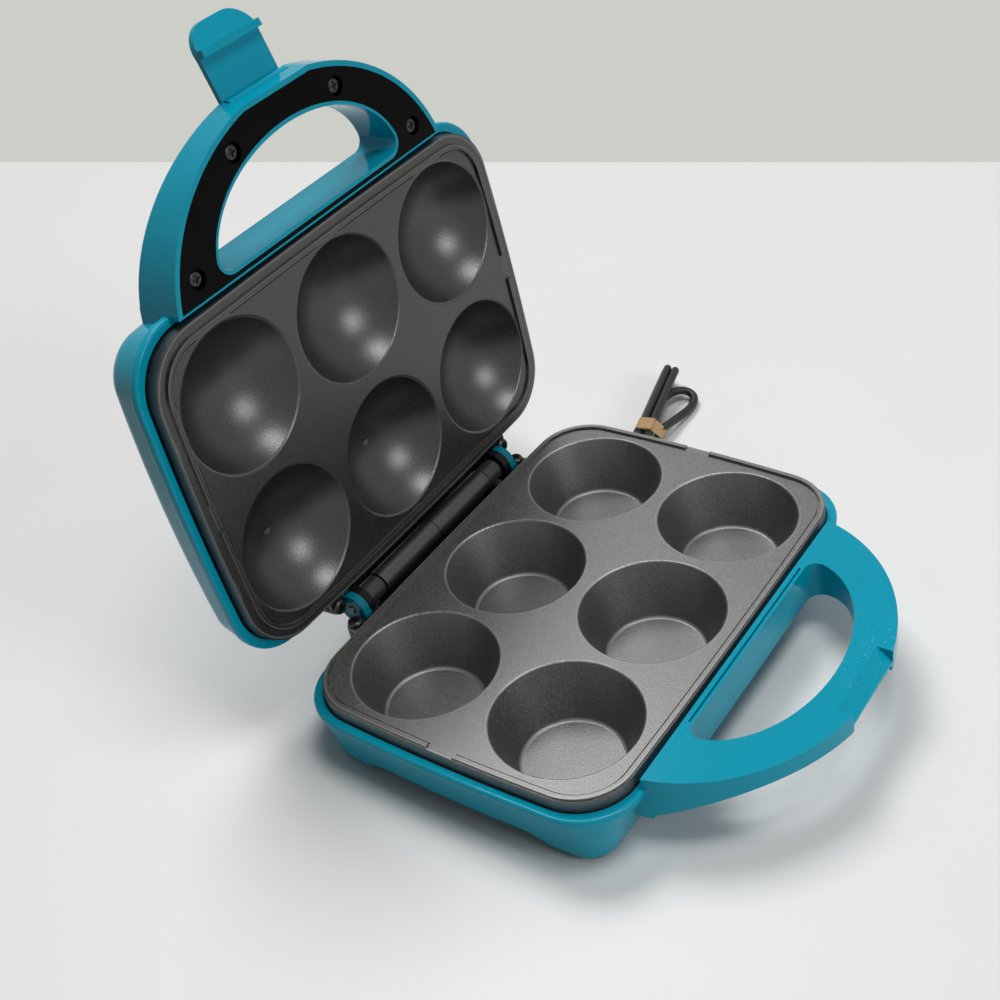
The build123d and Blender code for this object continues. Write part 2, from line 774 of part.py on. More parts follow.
def handle_cover():
    """Cover on the inside of the upper grip, with a cup for each screw head."""
    body = slab(handle_cover_face(), 0, cover_thick)
    for x, y in cover_screw_places():
        body += rod_z(x, y, cover_cup_r, 0, cover_cup_depth)
        body -= rod_z(x, y, cover_screw[1] + screw_recess_r, -1, cover_recess)
        body -= rod_z(x, y, cover_screw[0] + 0.2, 0, cover_cup_depth + 1)
    return body


# ---------------------------------------------------------------- hinge
def barrel_end(side):
    """Outer end of the hinge barrel on one side."""
    return hinge_centre_x + side * barrel_outer_end


def hinge_bracket(side):
    """Half of the hinge barrel with its web and foot; side -1 is the base's, +1 the lid's with a shield strip."""
    mid = bracket_middle(side)
    inner = hinge_centre_x + side * barrel_split_gap / 2
    ends = sorted((inner, barrel_end(side)))
    low, high = hinge_y - bracket_web_front, hinge_y + barrel_r
    body = rod_x(*ends, hinge_y, axis_depth, barrel_r)
    web = block(*ends, low, high, axis_depth, bracket_depth)
    web = fillet(web.edges().filter_by(Axis.Z).group_by(Axis.Y)[-1], 3.0)
    foot = block(
        mid - bracket_foot_half, mid + bracket_foot_half, bracket_foot_y, low + 1, bracket_depth - bracket_foot_thick, bracket_depth
    )
    body += web + foot
    wall_end = barrel_end(side) - side * barrel_end_wall
    if side < 0:
        body += rod_x(inner, inner + spigot_length, hinge_y, axis_depth, spigot_r)
        body -= rod_x(wall_end, inner + spigot_length + 1, hinge_y, axis_depth, barrel_bore)
    else:
        body -= rod_x(inner - 1, inner + spigot_length + running_gap, hinge_y, axis_depth, spigot_r + running_fit)
        body -= rod_x(inner - 1, wall_end, hinge_y, axis_depth, barrel_bore)
        shield = block(barrel_end(-1), mid, low, low + shield_width, shield_depth, shield_depth + shield_thick)
        body += stop_fin() + shield
    body -= rod_x(*sorted((wall_end, barrel_end(side) + side)), hinge_y, axis_depth, pin_r + running_fit)
    channel = bracket_channel_half
    lead_depth = bracket_depth - bracket_foot_thick / 2
    body -= block(mid - channel, mid + channel, hinge_y - channel, hinge_y + channel, axis_depth, lead_depth)
    body -= block(
        mid - channel, mid + channel, bracket_foot_y - 1, hinge_y + channel, lead_depth - channel, lead_depth + channel
    )
    for x, y in bracket_screw_places(side):
        body -= rod_z(x, y, small_screw[1] + 0.3, 0, bracket_screw_seat)
        body -= rod_z(x, y, small_screw[0] + 0.2, 0, bracket_depth + 1)
    return body


def stop_fin():
    """Fin under the lid's barrel that meets the base's rear lip when the lid is fully open."""
    mid = bracket_middle(1)
    front = lip_half_y + stop_clear
    fin = block(
        mid - stop_half_width, mid + stop_half_width, front, front + stop_thick, axis_z - stop_reach, axis_z
    )
    return Pos(0, 0, -plate_z - plate_gap) * swing(fin, hinge_y, axis_z, hinge_open_deg)


def hinge_pin(side):
    """Pin through the ears, the collar and the barrel's end wall."""
    outer_end = ear_start + 2 * ear_thick + ear_gap + pin_outer_over
    ends = sorted(hinge_centre_x + side * d for d in (pin_inner_end, outer_end))
    return chamfer(rod_x(*ends, hinge_y, axis_depth, pin_r).edges(), 0.4)


def collar(side):
    """Plain spacer round the pin between the barrel and the lid's ear."""
    near = barrel_outer_end + collar_gap
    ends = sorted(hinge_centre_x + side * d for d in (near, near + collar_length))
    ring = rod_x(*ends, hinge_y, axis_depth, collar_r)
    return chamfer(ring.edges(), 0.5) - rod_x(*ends, hinge_y, axis_depth, pin_r + running_fit)


# ---------------------------------------------------------------- latch
def latch():
    """Flip-down latch: knuckle on the upper grip, hook ledge and finger tab; drawn hanging closed."""
    half = latch_half_width
    back = grip_front_y - latch_face_clear
    front = back - latch_plate
    ledge = catch_depth_in_lid() - hook_clear
    tip = ledge - tab_length
    knuckle = rod_x(-half, half, latch_pivot_y, latch_pivot_z, latch_knuckle_r)
    body = knuckle + block(-half, half, front, latch_pivot_y, latch_pivot_z - 1.5, latch_pivot_z + 1.5)
    body += block(-half, half, front, back, ledge - hook_thick, latch_pivot_z)
    body += block(-half, half, front, back + hook_reach, ledge - hook_thick, ledge)
    lean = Polyline(
        (-half, front, ledge),
        (-half, back, ledge - hook_thick),
        (-half, back - tab_lean, tip),
        (-half, front - tab_lean, tip),
        close=True,
    )
    body += extrude(make_face(lean), 2 * half, dir=(1, 0, 0))
    plan = Pos(0, (latch_pivot_z + 20 + tip) / 2) * Rectangle(2 * half, latch_pivot_z + 20 - tip)
    low = [v for v in plan.vertices() if v.Y < tip + 0.01]
    trim = extrude(Plane.XZ * fillet(low, tab_corner), 300, both=True)
    body = body & trim
    return body - rod_x(-half - 1, half + 1, latch_pivot_y, latch_pivot_z, latch_pin_r + running_fit)


def catch_depth_in_lid():
    """Height of the catch's underside, seen from the closed lid's half frame."""
    return -catch_depth - plate_gap


def latch_pin():
    """Pin through the latch's knuckle and both cheeks of the slot."""
    half = latch_half_width + latch_side_clear + cheek_wall
    return rod_x(-half, half, latch_pivot_y, latch_pivot_z, latch_pin_r)


# ---------------------------------------------------------------- heating parts
def heating_element(depth):
    """Tubular heater under the plate, broken at the rear, with a terminal pin on each end."""
    x, y = element_half_x, element_half_y
    ends = [element_break_x + side * element_break_half for side in (1, -1)]
    path = FilletPolyline(
        (ends[0], y, depth), (x, y, depth), (x, -y, depth), (-x, -y, depth), (-x, y, depth), (ends[1], y, depth),
        radius=element_corner,
    )
    body = sweep(Plane(origin=path @ 0, z_dir=path % 0) * Circle(element_r), path=path)
    for end, side in zip(ends, (1, -1)):
        body += rod_x(*sorted((end, end - side * terminal_length)), y, depth, terminal_r)
    return body


def reflector(depth, cable_side):
    """Thin sheet that closes the heating space, with a hole for each post screw."""
    sheet = slab(outline(reflector_half_x, reflector_half_y, reflector_corner), depth, depth + reflector_thick)
    for x, y in post_places():
        sheet -= rod_z(x, y, small_screw[0] + 0.2, depth - 1, depth + 2)
    if cable_side:
        sheet -= rod_z(*block_screw_place, small_screw[0] + 0.2, depth - 1, depth + 2)
    return sheet


def post_places():
    """The four screw posts under each plate."""
    return [(x, y) for x in (-post_x, post_x) for y in (-post_y, post_y)]


def reflector_screws(depth):
    """One screw into each post."""
    seat = depth + reflector_thick
    return [screw(x, y, seat, seat - post_screw_length, small_screw) for x, y in post_places()]


def thermostat():
    """Disc thermostat against the plate, with its flange."""
    x = -block_place_x
    disc = rod_z(x, 0, thermostat_r, plate_thick, plate_thick + thermostat_height)
    body = chamfer(disc.edges().sort_by(Axis.Z)[-1], 0.8)
    return body + rod_z(x, 0, thermostat_r + 2, plate_thick, plate_thick + 0.8)


def thermal_fuse():
    """Small sealed fuse along X between the two middle cups."""
    half = fuse_length / 2
    return chamfer(rod_x(-half, half, 0, plate_thick + fuse_r + 0.2, fuse_r).edges(), 0.4)


def terminal_block():
    """Connector block on the lower reflector."""
    length, width, height = block_size
    x, low = block_place_x, lower_reflector_depth
    body = block(x - length / 2, x + length / 2, -width / 2, width / 2, low - height, low)
    body = chamfer(body.edges().filter_by(Axis.X).group_by(Axis.Z)[0], 1.0)
    return body - rod_z(*block_screw_place, small_screw[0] + running_fit, low - block_screw_in - 0.5, low + 1)


def lead(points, r=lead_r, bend=lead_bend):
    """Insulated lead along hand-routed points with tight, equal bends."""
    return tube_along(points, bend, r)


# ---------------------------------------------------------------- bottom parts
def bottom_cover():
    """Dished bottom cover with a flange between the feet and rows of vent slots."""
    def dish_outline(inset):
        inset += cover_dish_clear
        return outline(floor_open_x - inset, floor_open_y - inset, floor_open_corner - inset)

    top = base_rim_depth
    body = slab(dish_outline(0), top, cover_floor_depth)
    strip_x = front_arch_half - cover_flange_back
    strip_y = side_arch_half - cover_flange_back
    plan = Rectangle(2 * strip_x, 4 * cover_flange_y) + Rectangle(4 * cover_flange_x, 2 * strip_y)
    flange = outline(cover_flange_x, cover_flange_y, cover_flange_corner) & plan
    body += slab(flange, top, top + cover_sheet)
    body -= slab(dish_outline(cover_sheet), top - 1, cover_floor_depth - cover_sheet)
    length, width = vent_slot
    for group in (-1, 1):
        for row in range(vent_rows):
            y = (row - (vent_rows - 1) / 2) * vent_pitch
            slot = Pos(group * vent_group_x, y) * SlotOverall(length, width)
            body -= slab(slot, cover_floor_depth - 2 * cover_sheet, cover_floor_depth + 1)
    for x, y in cover_floor_screw_places():
        body -= rod_z(x, y, cover_screw[0] + 0.2, top - 1, top + 5)
    return body


def cover_floor_screw_places():
    """Four screws through the bottom cover's flange."""
    return [(x, y) for x in (-cover_screw_x, cover_screw_x) for y in (-cover_screw_y, cover_screw_y)]


def foot_pad(x, y):
    """Rubber foot with a stub pressed up into the housing's corner."""
    pad = rod_z(x, y, foot_pad_r, foot_depth, plate_z)
    pad = chamfer(pad.edges().sort_by(Axis.Z)[-1], 0.5)
    return pad + rod_z(x, y, foot_stub_r, foot_depth - foot_stub, foot_depth)


# ---------------------------------------------------------------- lamps
def crown_height(x, y):
    """Height of the lid's crown over a point."""
    return lid_crown - (x**2 + y**2) / (2 * lid_crown_radius)


def lens(side):
    """Small domed indicator lens in the lid's crown, with a flange under the shell."""
    x = side * lens_spacing / 2
    top = crown_height(x, lens_y)
    body = rod_z(x, lens_y, lens_r, top - lens_depth, top + lens_proud)
    body = fillet(body.edges().sort_by(Axis.Z)[-1], lens_proud * 0.9)
    under_shell = top - wall - 0.4
    return body + rod_z(x, lens_y, lens_r + 1.2, under_shell - 1.0, under_shell)


def neon_lamp(side):
    """Glass lamp right behind a lens."""
    x = side * lens_spacing / 2
    top = crown_height(x, lens_y) - lens_depth
    return fillet(rod_z(x, lens_y, lamp_r, top - lamp_length, top).edges().sort_by(Axis.Z)[0], lamp_r * 0.8)


# ---------------------------------------------------------------- mains entry
def strain_relief():
    """Tapered cord sleeve through the gland pad in the rear wall."""
    depth = plate_z - cord_exit_z
    inner, outer = gland_pad_y, gland_pad_y + gland_pad_thick
    body = rod_y(cord_exit_x, depth, relief_flange_r, inner - relief_flange, inner)
    body += rod_y(cord_exit_x, depth, relief_root_r, inner, outer)
    taper = Cone(relief_root_r + 0.8, relief_tip_r, relief_length)
    body += Pos(cord_exit_x, outer + relief_length / 2, depth) * Rot(-90, 0, 0) * taper
    return body - rod_y(cord_exit_x, depth, cord_r + running_fit, inner - 10, outer + 2 * relief_length)


def cord_clamp():
    """Saddle that grips the cord inside the rear wall."""
    depth = plate_z - cord_exit_z
    y1 = gland_pad_y - relief_flange - 0.2
    y0 = y1 - clamp_width
    seat = base_rim_depth - rim_flange
    half = cord_r + 2.4
    body = block(cord_exit_x - half, cord_exit_x + half, y0, y1, depth - half + 0.8, seat)
    wide = clamp_screw_half + small_screw[1] + 0.3
    body += block(cord_exit_x - wide, cord_exit_x + wide, y0, y1, seat - clamp_ear, seat)
    for x, y in clamp_screw_places():
        body -= rod_z(x, y, small_screw[0] + 0.2, 0, seat + 1)
    return body - rod_y(cord_exit_x, depth, cord_r, y0 - 1, y1 + 1)


def cord_inlet():
    """The stretch of cord held in the sleeve and the clamp."""
    start = gland_pad_y - relief_flange - 0.2 - clamp_width
    end = gland_pad_y + gland_pad_thick + relief_length
    return rod_y(cord_exit_x, plate_z - cord_exit_z, cord_r, start, end)


# ---------------------------------------------------------------- free cord
# The hank lies beside the base; its own frame has s along the bundle and t across it.
tie_centre = (137.0, 50.0)
hank_turn = 15.0
hank_near, hank_neck, hank_far = -28.0, -12.0, 56.0
hank_half = 4.3
hank_head_half = 5.2
hank_low, hank_high = 0.4, 13.3
tie_near, tie_far = -7.0, 5.0
tie_sheet = 0.45
strand_t = -6.5
plug_size = (21.0, 28.0, 14.0)
plug_x, plug_rear_y = 116.2, 4.0
plug_neck = 6.0
blade_size = (1.5, 17.0, 6.3)
blade_spacing = 12.7


def at_hank(s, t, z):
    """A point given in the hank's own frame."""
    turn = math.radians(hank_turn)
    x = tie_centre[0] + s * math.cos(turn) - t * math.sin(turn)
    y = tie_centre[1] + s * math.sin(turn) + t * math.cos(turn)
    return (x, y, z)


lead_points = [
    (cord_exit_x, gland_pad_y + gland_pad_thick + relief_length, cord_exit_z),
    (cord_exit_x, 100.5, cord_exit_z),
    (37.2, 113.5, 13.2),
    (48.9, 122.3, 9.2),
    (63.6, 122.8, 5.2),
    (76.5, 114.5, 2.8),
    (89.5, 103.5, 2.3),
    (101.5, 92.5, 2.3),
    (108.4, 79.0, 2.3),
    (109.0, 66.0, 2.5),
    at_hank(-21.5, 9.6, 2.8),
    at_hank(-15.5, 1.0, 2.8),
]
lobe_points = [
    at_hank(20.0, 0.0, 6.8),
    at_hank(30.0, 0.3, 6.5),
    at_hank(39.5, -1.5, 4.8),
    at_hank(43.5, -8.5, 3.6),
    at_hank(38.5, -16.0, 3.4),
    at_hank(27.0, -15.2, 4.6),
    at_hank(14.0, -9.4, 6.9),
    at_hank(tie_far + 4.3, strand_t, 8.4054),
    at_hank(tie_far + 0.3, strand_t, 8.0),
]
tail_points = [
    at_hank(tie_far + 0.3, strand_t, 8.0),
    at_hank(-9.5, strand_t, 6.5),
    at_hank(-17.5, -10.4, 4.8),
    (118.4, 30.0, 3.9),
    (116.4, 22.5, 5.3),
    (plug_x, 16.0, plug_size[2] / 2),
    (plug_x, plug_rear_y + plug_neck, plug_size[2] / 2),
]


def arc_radii(points):
    """The largest arc that each corner's two runs allow."""
    at = [Vector(*p) for p in points]
    radii = []
    for before, here, after in zip(at, at[1:], at[2:]):
        run_in, run_out = here - before, after - here
        half_turn = math.radians(run_in.get_angle(run_out) / 2)
        radii.append(0.45 * min(run_in.length, run_out.length) / math.tan(half_turn))
    return radii


def cord_tube(name, points):
    """A stretch of free cord; prints its radii and checks its volume against its length."""
    radii = arc_radii(points)
    path = FilletPolyline(*points, radius=radii)
    tube = sweep(Plane(origin=path @ 0, z_dir=path % 0) * Circle(cord_r), path=path)
    wanted = math.pi * cord_r**2 * path.length
    print(name, "length", round(path.length, 1), "volume ratio", round(tube.volume / wanted, 4))
    print("  radii", [round(r, 1) for r in radii])
    return tube


def in_hank(piece):
    """From the hank's own frame to its place on the bench."""
    return Pos(*tie_centre, 0) * Rot(0, 0, hank_turn) * piece


def hank_bundle():
    """Outer shape of the folded cord: a bundle, its wider near end and one loose loop."""
    bundle = block(hank_neck, hank_far, -hank_half, hank_half, hank_low, hank_high)
    ends = [e for e in bundle.edges().filter_by(Axis.Y) if e.center().X > hank_far - 0.01]
    bundle = fillet(ends, (hank_high - hank_low) / 2 - 0.1)
    head = block(hank_near, hank_neck, -hank_head_half, hank_head_half, hank_low, hank_high)
    head = fillet(head.edges().filter_by(Axis.Z).group_by(Axis.X)[0], hank_head_half * 0.7)
    return in_hank(bundle + head) + cord_tube("cord loop", lobe_points)


def cord_tie():
    """Paper band round the bundle and the strand that leaves it."""
    slack = 0.1
    t0, t1 = strand_t - cord_r - slack, hank_half + slack
    z0, z1 = tie_sheet - 0.05, hank_high + slack
    sheet = tie_sheet - 0.05
    outer = block(tie_near, tie_far, t0 - sheet, t1 + sheet, z0 - sheet, z1 + sheet)
    inner = block(tie_near - 1, tie_far + 1, t0, t1, z0, z1)
    return in_hank(outer - inner)


def plug_body():
    """Moulded two-pin plug lying flat, with its neck."""
    width, length, height = plug_size
    y = plug_rear_y
    body = block(plug_x - width / 2, plug_x + width / 2, y - length, y, 0, height)
    body = fillet(body.edges().filter_by(Axis.Y), height * 0.25)
    body = fillet(body.faces().sort_by(Axis.Y)[-1].edges(), 1.5)
    neck = Cone(height * 0.36, cord_r + 0.7, plug_neck)
    return body + Pos(plug_x, y + plug_neck / 2, height / 2) * Rot(-90, 0, 0) * neck


def plug_blade(side):
    """One flat blade of the plug."""
    thick, length, width = blade_size
    x, y = plug_x + side * blade_spacing / 2, plug_rear_y - plug_size[1]
    middle = plug_size[2] / 2
    blade = block(x - thick / 2, x + thick / 2, y - length, y, middle - width / 2, middle + width / 2)
    return chamfer(blade.edges().group_by(Axis.Y)[0].filter_by(Axis.Z), thick * 0.3)


# ---------------------------------------------------------------- internal leads, in the half frame
block_rear = block_size[1] / 2
block_left = block_place_x - block_size[0] / 2
cord_depth = plate_z - cord_exit_z
cord_end_y = gland_pad_y - relief_flange - 0.2 - clamp_width
lead_mid_depth = bracket_depth - bracket_foot_thick / 2


def supply_lead(side):
    """From the cord's end, round the post, to the terminal block."""
    x = block_place_x
    return lead(
        [
            (x + side * 1.15, cord_end_y, cord_depth),
            (x + side * 1.15, cord_end_y - 1.6, cord_depth),
            (x + side * 5.4, 53.0, 20.4),
            (x + side * 5.4, 40.0, 21.0),
            (x + side * 7.0, 15.0, 22.0),
            (x + side * 7.0, block_rear, 22.0),
        ],
        bend=1.6,
    )


def element_lead(side, depth, end_points):
    """From one terminal pin of a heater; side -1 is the pin that points to +X."""
    tip = element_break_x + side * (element_break_half - terminal_length)
    start = [(tip, element_half_y, depth), (tip - side * 2.6, element_half_y, depth)]
    return lead(start + end_points, bend=1.4)


def lower_element_lead(side):
    """Heater pin to terminal block, round the post."""
    x, depth = element_break_x, lower_element_depth
    return element_lead(
        side,
        depth,
        [
            (x + side * 1.4, 60.5, depth),
            (x + side * 5.2, 55.0, depth),
            (x + side * 5.2, 49.0, depth),
            (x + side * 2.5, 38.0, 16.0),
            (x + side * 2.5, 14.0, 20.0),
            (x + side * 2.5, block_rear, 20.0),
        ],
    )


def control_leads():
    """Terminal block to thermostat, thermostat to fuse and fuse to terminal block."""
    disc, low = -block_place_x, plate_thick + thermostat_height
    fuse_depth, half = plate_thick + fuse_r + 0.2, fuse_length / 2
    first = lead(
        [(block_left, 3.8, 20.5), (14.0, 3.8, 20.5), (disc - 4.0, 3.8, 18.0), (disc - 4.0, 3.8, low)], bend=2.2
    )
    second = lead(
        [(disc + 4.0, 0, low), (disc + 4.0, 0, low + 4.5), (-17.0, 0, 12.0), (-11.0, 0, fuse_depth), (-half, 0, fuse_depth)],
        bend=1.6,
    )
    third = lead(
        [(half, 0, fuse_depth), (11.0, 0, fuse_depth), (16.0, -2.0, 16.0), (19.0, -3.8, 21.0), (block_left, -3.8, 21.0)],
        bend=1.2,
    )
    return [first, second, third]


def hinge_lead_base():
    """Two-core lead from the terminal block up the base bracket and into the barrel."""
    mid = bracket_middle(-1)
    return lead(
        [
            (block_left, 0, 24.0),
            (-24.0, 0, 24.0),
            (-27.0, 14.0, 23.5),
            (-27.0, 47.0, 22.6),
            (mid, 56.0, lead_mid_depth),
            (mid, hinge_y, lead_mid_depth),
            (mid, hinge_y, axis_depth),
            (hinge_centre_x - barrel_split_gap / 2, hinge_y, axis_depth),
        ],
        cable_r,
        [4.0, 4.0, 6.0, 4.0, 2.4, 2.4],
    )


def hinge_lead_lid():
    """The same lead from the barrel down the lid bracket into the lid."""
    mid = bracket_middle(1)
    return lead(
        [
            (hinge_centre_x + barrel_split_gap / 2, hinge_y, axis_depth),
            (mid, hinge_y, axis_depth),
            (mid, hinge_y, lead_mid_depth),
            (mid, bracket_foot_y - 3.0, lead_mid_depth),
        ],
        cable_r,
        2.4,
    )


def upper_element_lead(side):
    """From the end of the hinge lead to one terminal pin of the lid's heater."""
    x, depth = element_break_x, upper_element_depth
    mid, y = bracket_middle(1), bracket_foot_y - 3.0
    out = [
        (x + side * 1.4, 60.0, depth),
        (x + side * 1.4, 57.6, depth + 2.0),
        (mid + 1.15 * side, 54.0, lead_mid_depth - 2.0),
        (mid + 1.15 * side, y - 2.2, lead_mid_depth),
        (mid + 1.15 * side, y, lead_mid_depth),
    ]
    return element_lead(side, depth, out)


def lamp_lead(side):
    """From a lamp over the reflector to the rear of the lid."""
    x = side * lens_spacing / 2
    low = crown_height(x, lens_y) - lens_depth - 2.0
    return lead([(x, lens_y + lamp_r, low), (x, 40.0, low), (x + 4.0, 56.0, low - 1.0)], 0.8, 3.0)


# ---------------------------------------------------------------- nodes on the base
bottom_seat = base_rim_depth + cover_sheet
hank = hank_bundle()

save("base_housing", to_base(base_housing()))
save("lower_plate", to_base(cup_plate()))
save("lower_element", to_base(heating_element(lower_element_depth)))
save("lower_reflector", to_base(reflector(lower_reflector_depth, True)))
save("lower_reflector_screws", to_base(as_group(reflector_screws(lower_reflector_depth))))
save("thermostat", to_base(thermostat()))
save("thermal_fuse", to_base(thermal_fuse()))
save("terminal_block", to_base(terminal_block()))
block_seat = lower_reflector_depth + reflector_thick
save(
    "terminal_block_screw",
    to_base(screw(*block_screw_place, block_seat, lower_reflector_depth - block_screw_in, small_screw)),
)
save("supply_leads", to_base(as_group([supply_lead(side) for side in (-1, 1)])))
save("lower_element_leads", to_base(as_group([lower_element_lead(side) for side in (-1, 1)])))
save("control_leads", to_base(as_group(control_leads())))
save("hinge_lead_base", to_base(hinge_lead_base()))
save("bottom_cover", to_base(bottom_cover()))
bottom_screws = [
    screw(x, y, bottom_seat, cover_boss_depth + screw_bottom_gap, cover_screw) for x, y in cover_floor_screw_places()
]
save("bottom_cover_screws", to_base(as_group(bottom_screws)))
feet = [foot_pad(x, y) for x in (-foot_x, foot_x) for y in (-foot_y, foot_y)]
save("foot_pads", to_base(as_group(feet)))
plate_screws = [
    screw(*screw_places(side), tab_top, boss_depth - 2 - screw_bottom_gap, plate_screw) for side in (-1, 1)
]
save("lower_plate_screws", to_base(as_group(plate_screws)))
save("base_hinge_bracket", to_base(hinge_bracket(-1)))
bracket_tip = bracket_depth + rim_flange - screw_bottom_gap
for node, side, place in (("base_bracket_screws", -1, to_base), ("lid_bracket_screws", 1, to_lid)):
    pair = [screw(x, y, bracket_screw_seat, bracket_tip, small_screw) for x, y in bracket_screw_places(side)]
    save(node, place(as_group(pair)))
save("hinge_pins", to_base(as_group([hinge_pin(side) for side in (-1, 1)])))
save("hinge_collars", to_base(as_group([collar(side) for side in (-1, 1)])))
save("strain_relief", to_base(strain_relief()))
save("cord_inlet", to_base(cord_inlet()))
save("cord_clamp", to_base(cord_clamp()))
clamp_seat = base_rim_depth - rim_flange - clamp_ear
clamp_tip = base_rim_depth - screw_bottom_gap
clamp_screws = [screw(x, y, clamp_seat, clamp_tip, small_screw) for x, y in clamp_screw_places()]
save("cord_clamp_screws", to_base(as_group(clamp_screws)))
save("cord_lead", cord_tube("cord lead", lead_points) - hank)
save("cord_hank", hank)
save("cord_tail", cord_tube("cord tail", tail_points))
save("cord_tie", cord_tie())
save("plug_body", plug_body())
save("plug_blades", as_group([plug_blade(side) for side in (-1, 1)]))

# ---------------------------------------------------------------- nodes on the lid
save("lid_housing", to_lid(lid_housing()))
save("upper_plate", to_lid(dome_plate()))
save("upper_element", to_lid(heating_element(upper_element_depth)))
save("upper_reflector", to_lid(reflector(upper_reflector_depth, False)))
save("upper_reflector_screws", to_lid(as_group(reflector_screws(upper_reflector_depth))))
save("upper_plate_screws", to_lid(as_group(plate_screws)))
save("handle_cover", to_lid(handle_cover()))
handle_screws = [screw(x, y, cover_recess, handle_screw_tip, cover_screw) for x, y in cover_screw_places()]
save("handle_cover_screws", to_lid(as_group(handle_screws)))
save("lid_hinge_bracket", to_lid(hinge_bracket(1)))
save("hinge_lead_lid", to_lid(hinge_lead_lid()))
save("upper_element_leads", to_lid(as_group([upper_element_lead(side) for side in (-1, 1)])))
save("indicator_lens_red", to_lid(lens(-1)))
save("indicator_lens_green", to_lid(lens(1)))
save("neon_lamps", to_lid(as_group([neon_lamp(side) for side in (-1, 1)])))
save("lamp_leads", to_lid(as_group([lamp_lead(side) for side in (-1, 1)])))
save("latch_pin", to_lid(latch_pin()))

# ---------------------------------------------------------------- node on the latch
save("latch", to_latch(latch()))
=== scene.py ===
import math

import bpy
import numpy as np
from mathutils import Matrix, Vector


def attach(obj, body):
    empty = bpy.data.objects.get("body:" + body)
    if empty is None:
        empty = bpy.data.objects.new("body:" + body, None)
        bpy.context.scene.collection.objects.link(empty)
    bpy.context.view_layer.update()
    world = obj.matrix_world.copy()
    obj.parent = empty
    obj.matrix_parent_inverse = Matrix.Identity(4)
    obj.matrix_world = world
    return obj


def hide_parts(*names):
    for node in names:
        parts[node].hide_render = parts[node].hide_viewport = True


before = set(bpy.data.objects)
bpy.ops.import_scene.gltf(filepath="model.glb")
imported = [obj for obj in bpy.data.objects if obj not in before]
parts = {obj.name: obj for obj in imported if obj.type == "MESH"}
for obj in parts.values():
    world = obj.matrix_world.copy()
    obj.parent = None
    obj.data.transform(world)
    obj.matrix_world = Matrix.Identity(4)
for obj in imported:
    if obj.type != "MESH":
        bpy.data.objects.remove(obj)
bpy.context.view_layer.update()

# ---------------------------------------------------------------- camera
# Stands to the left of the handles and above them, and looks down across the open halves.
camera_place = Vector((-0.3705, -0.2871, 0.4472))
camera_turn, camera_drop, camera_roll = math.radians(41.029), math.radians(37.493), math.radians(-11.004)
lens_mm, sensor_mm = 53.46, 36.0
forward = Vector((
    math.cos(camera_drop) * math.cos(camera_turn),
    math.cos(camera_drop) * math.sin(camera_turn),
    -math.sin(camera_drop),
))
level_right = forward.cross(Vector((0, 0, 1))).normalized()
level_up = level_right.cross(forward)
right = level_right * math.cos(camera_roll) + level_up * math.sin(camera_roll)
up = right.cross(forward)
camera_data = bpy.data.cameras.new("camera")
camera_data.lens, camera_data.sensor_width, camera_data.sensor_height = lens_mm, sensor_mm, sensor_mm
camera_data.sensor_fit = "HORIZONTAL"
camera_data.clip_start, camera_data.clip_end = 0.01, 50.0
camera = bpy.data.objects.new("camera", camera_data)
bpy.context.scene.collection.objects.link(camera)
turned = Matrix((right, up, -forward)).transposed().to_4x4()
camera.matrix_world = Matrix.Translation(camera_place) @ turned
bpy.context.scene.camera = camera


# ---------------------------------------------------------------- mains cord
# Round black sheathed cord. It leaves the sleeve in the rear wall, lies along the bench and is
# folded into a hank of leaning strands held by a paper band, with one loop left loose.
def put(name, obj_data):
    """An object made from data and linked to the scene, at the origin."""
    made = bpy.data.objects.new(name, obj_data)
    bpy.context.scene.collection.objects.link(made)
    return made


cord_diameter = 0.0042
hank_centre, hank_turn = (137.0, 50.0), math.radians(15.0)


def from_hank(rows):
    """Points given as (along the hank, across it, height) turned and moved to the bench."""
    s, t, z = np.array(rows, float).T
    x = hank_centre[0] + s * math.cos(hank_turn) - t * math.sin(hank_turn)
    y = hank_centre[1] + s * math.sin(hank_turn) + t * math.cos(hank_turn)
    return np.stack([x, y, z], 1)


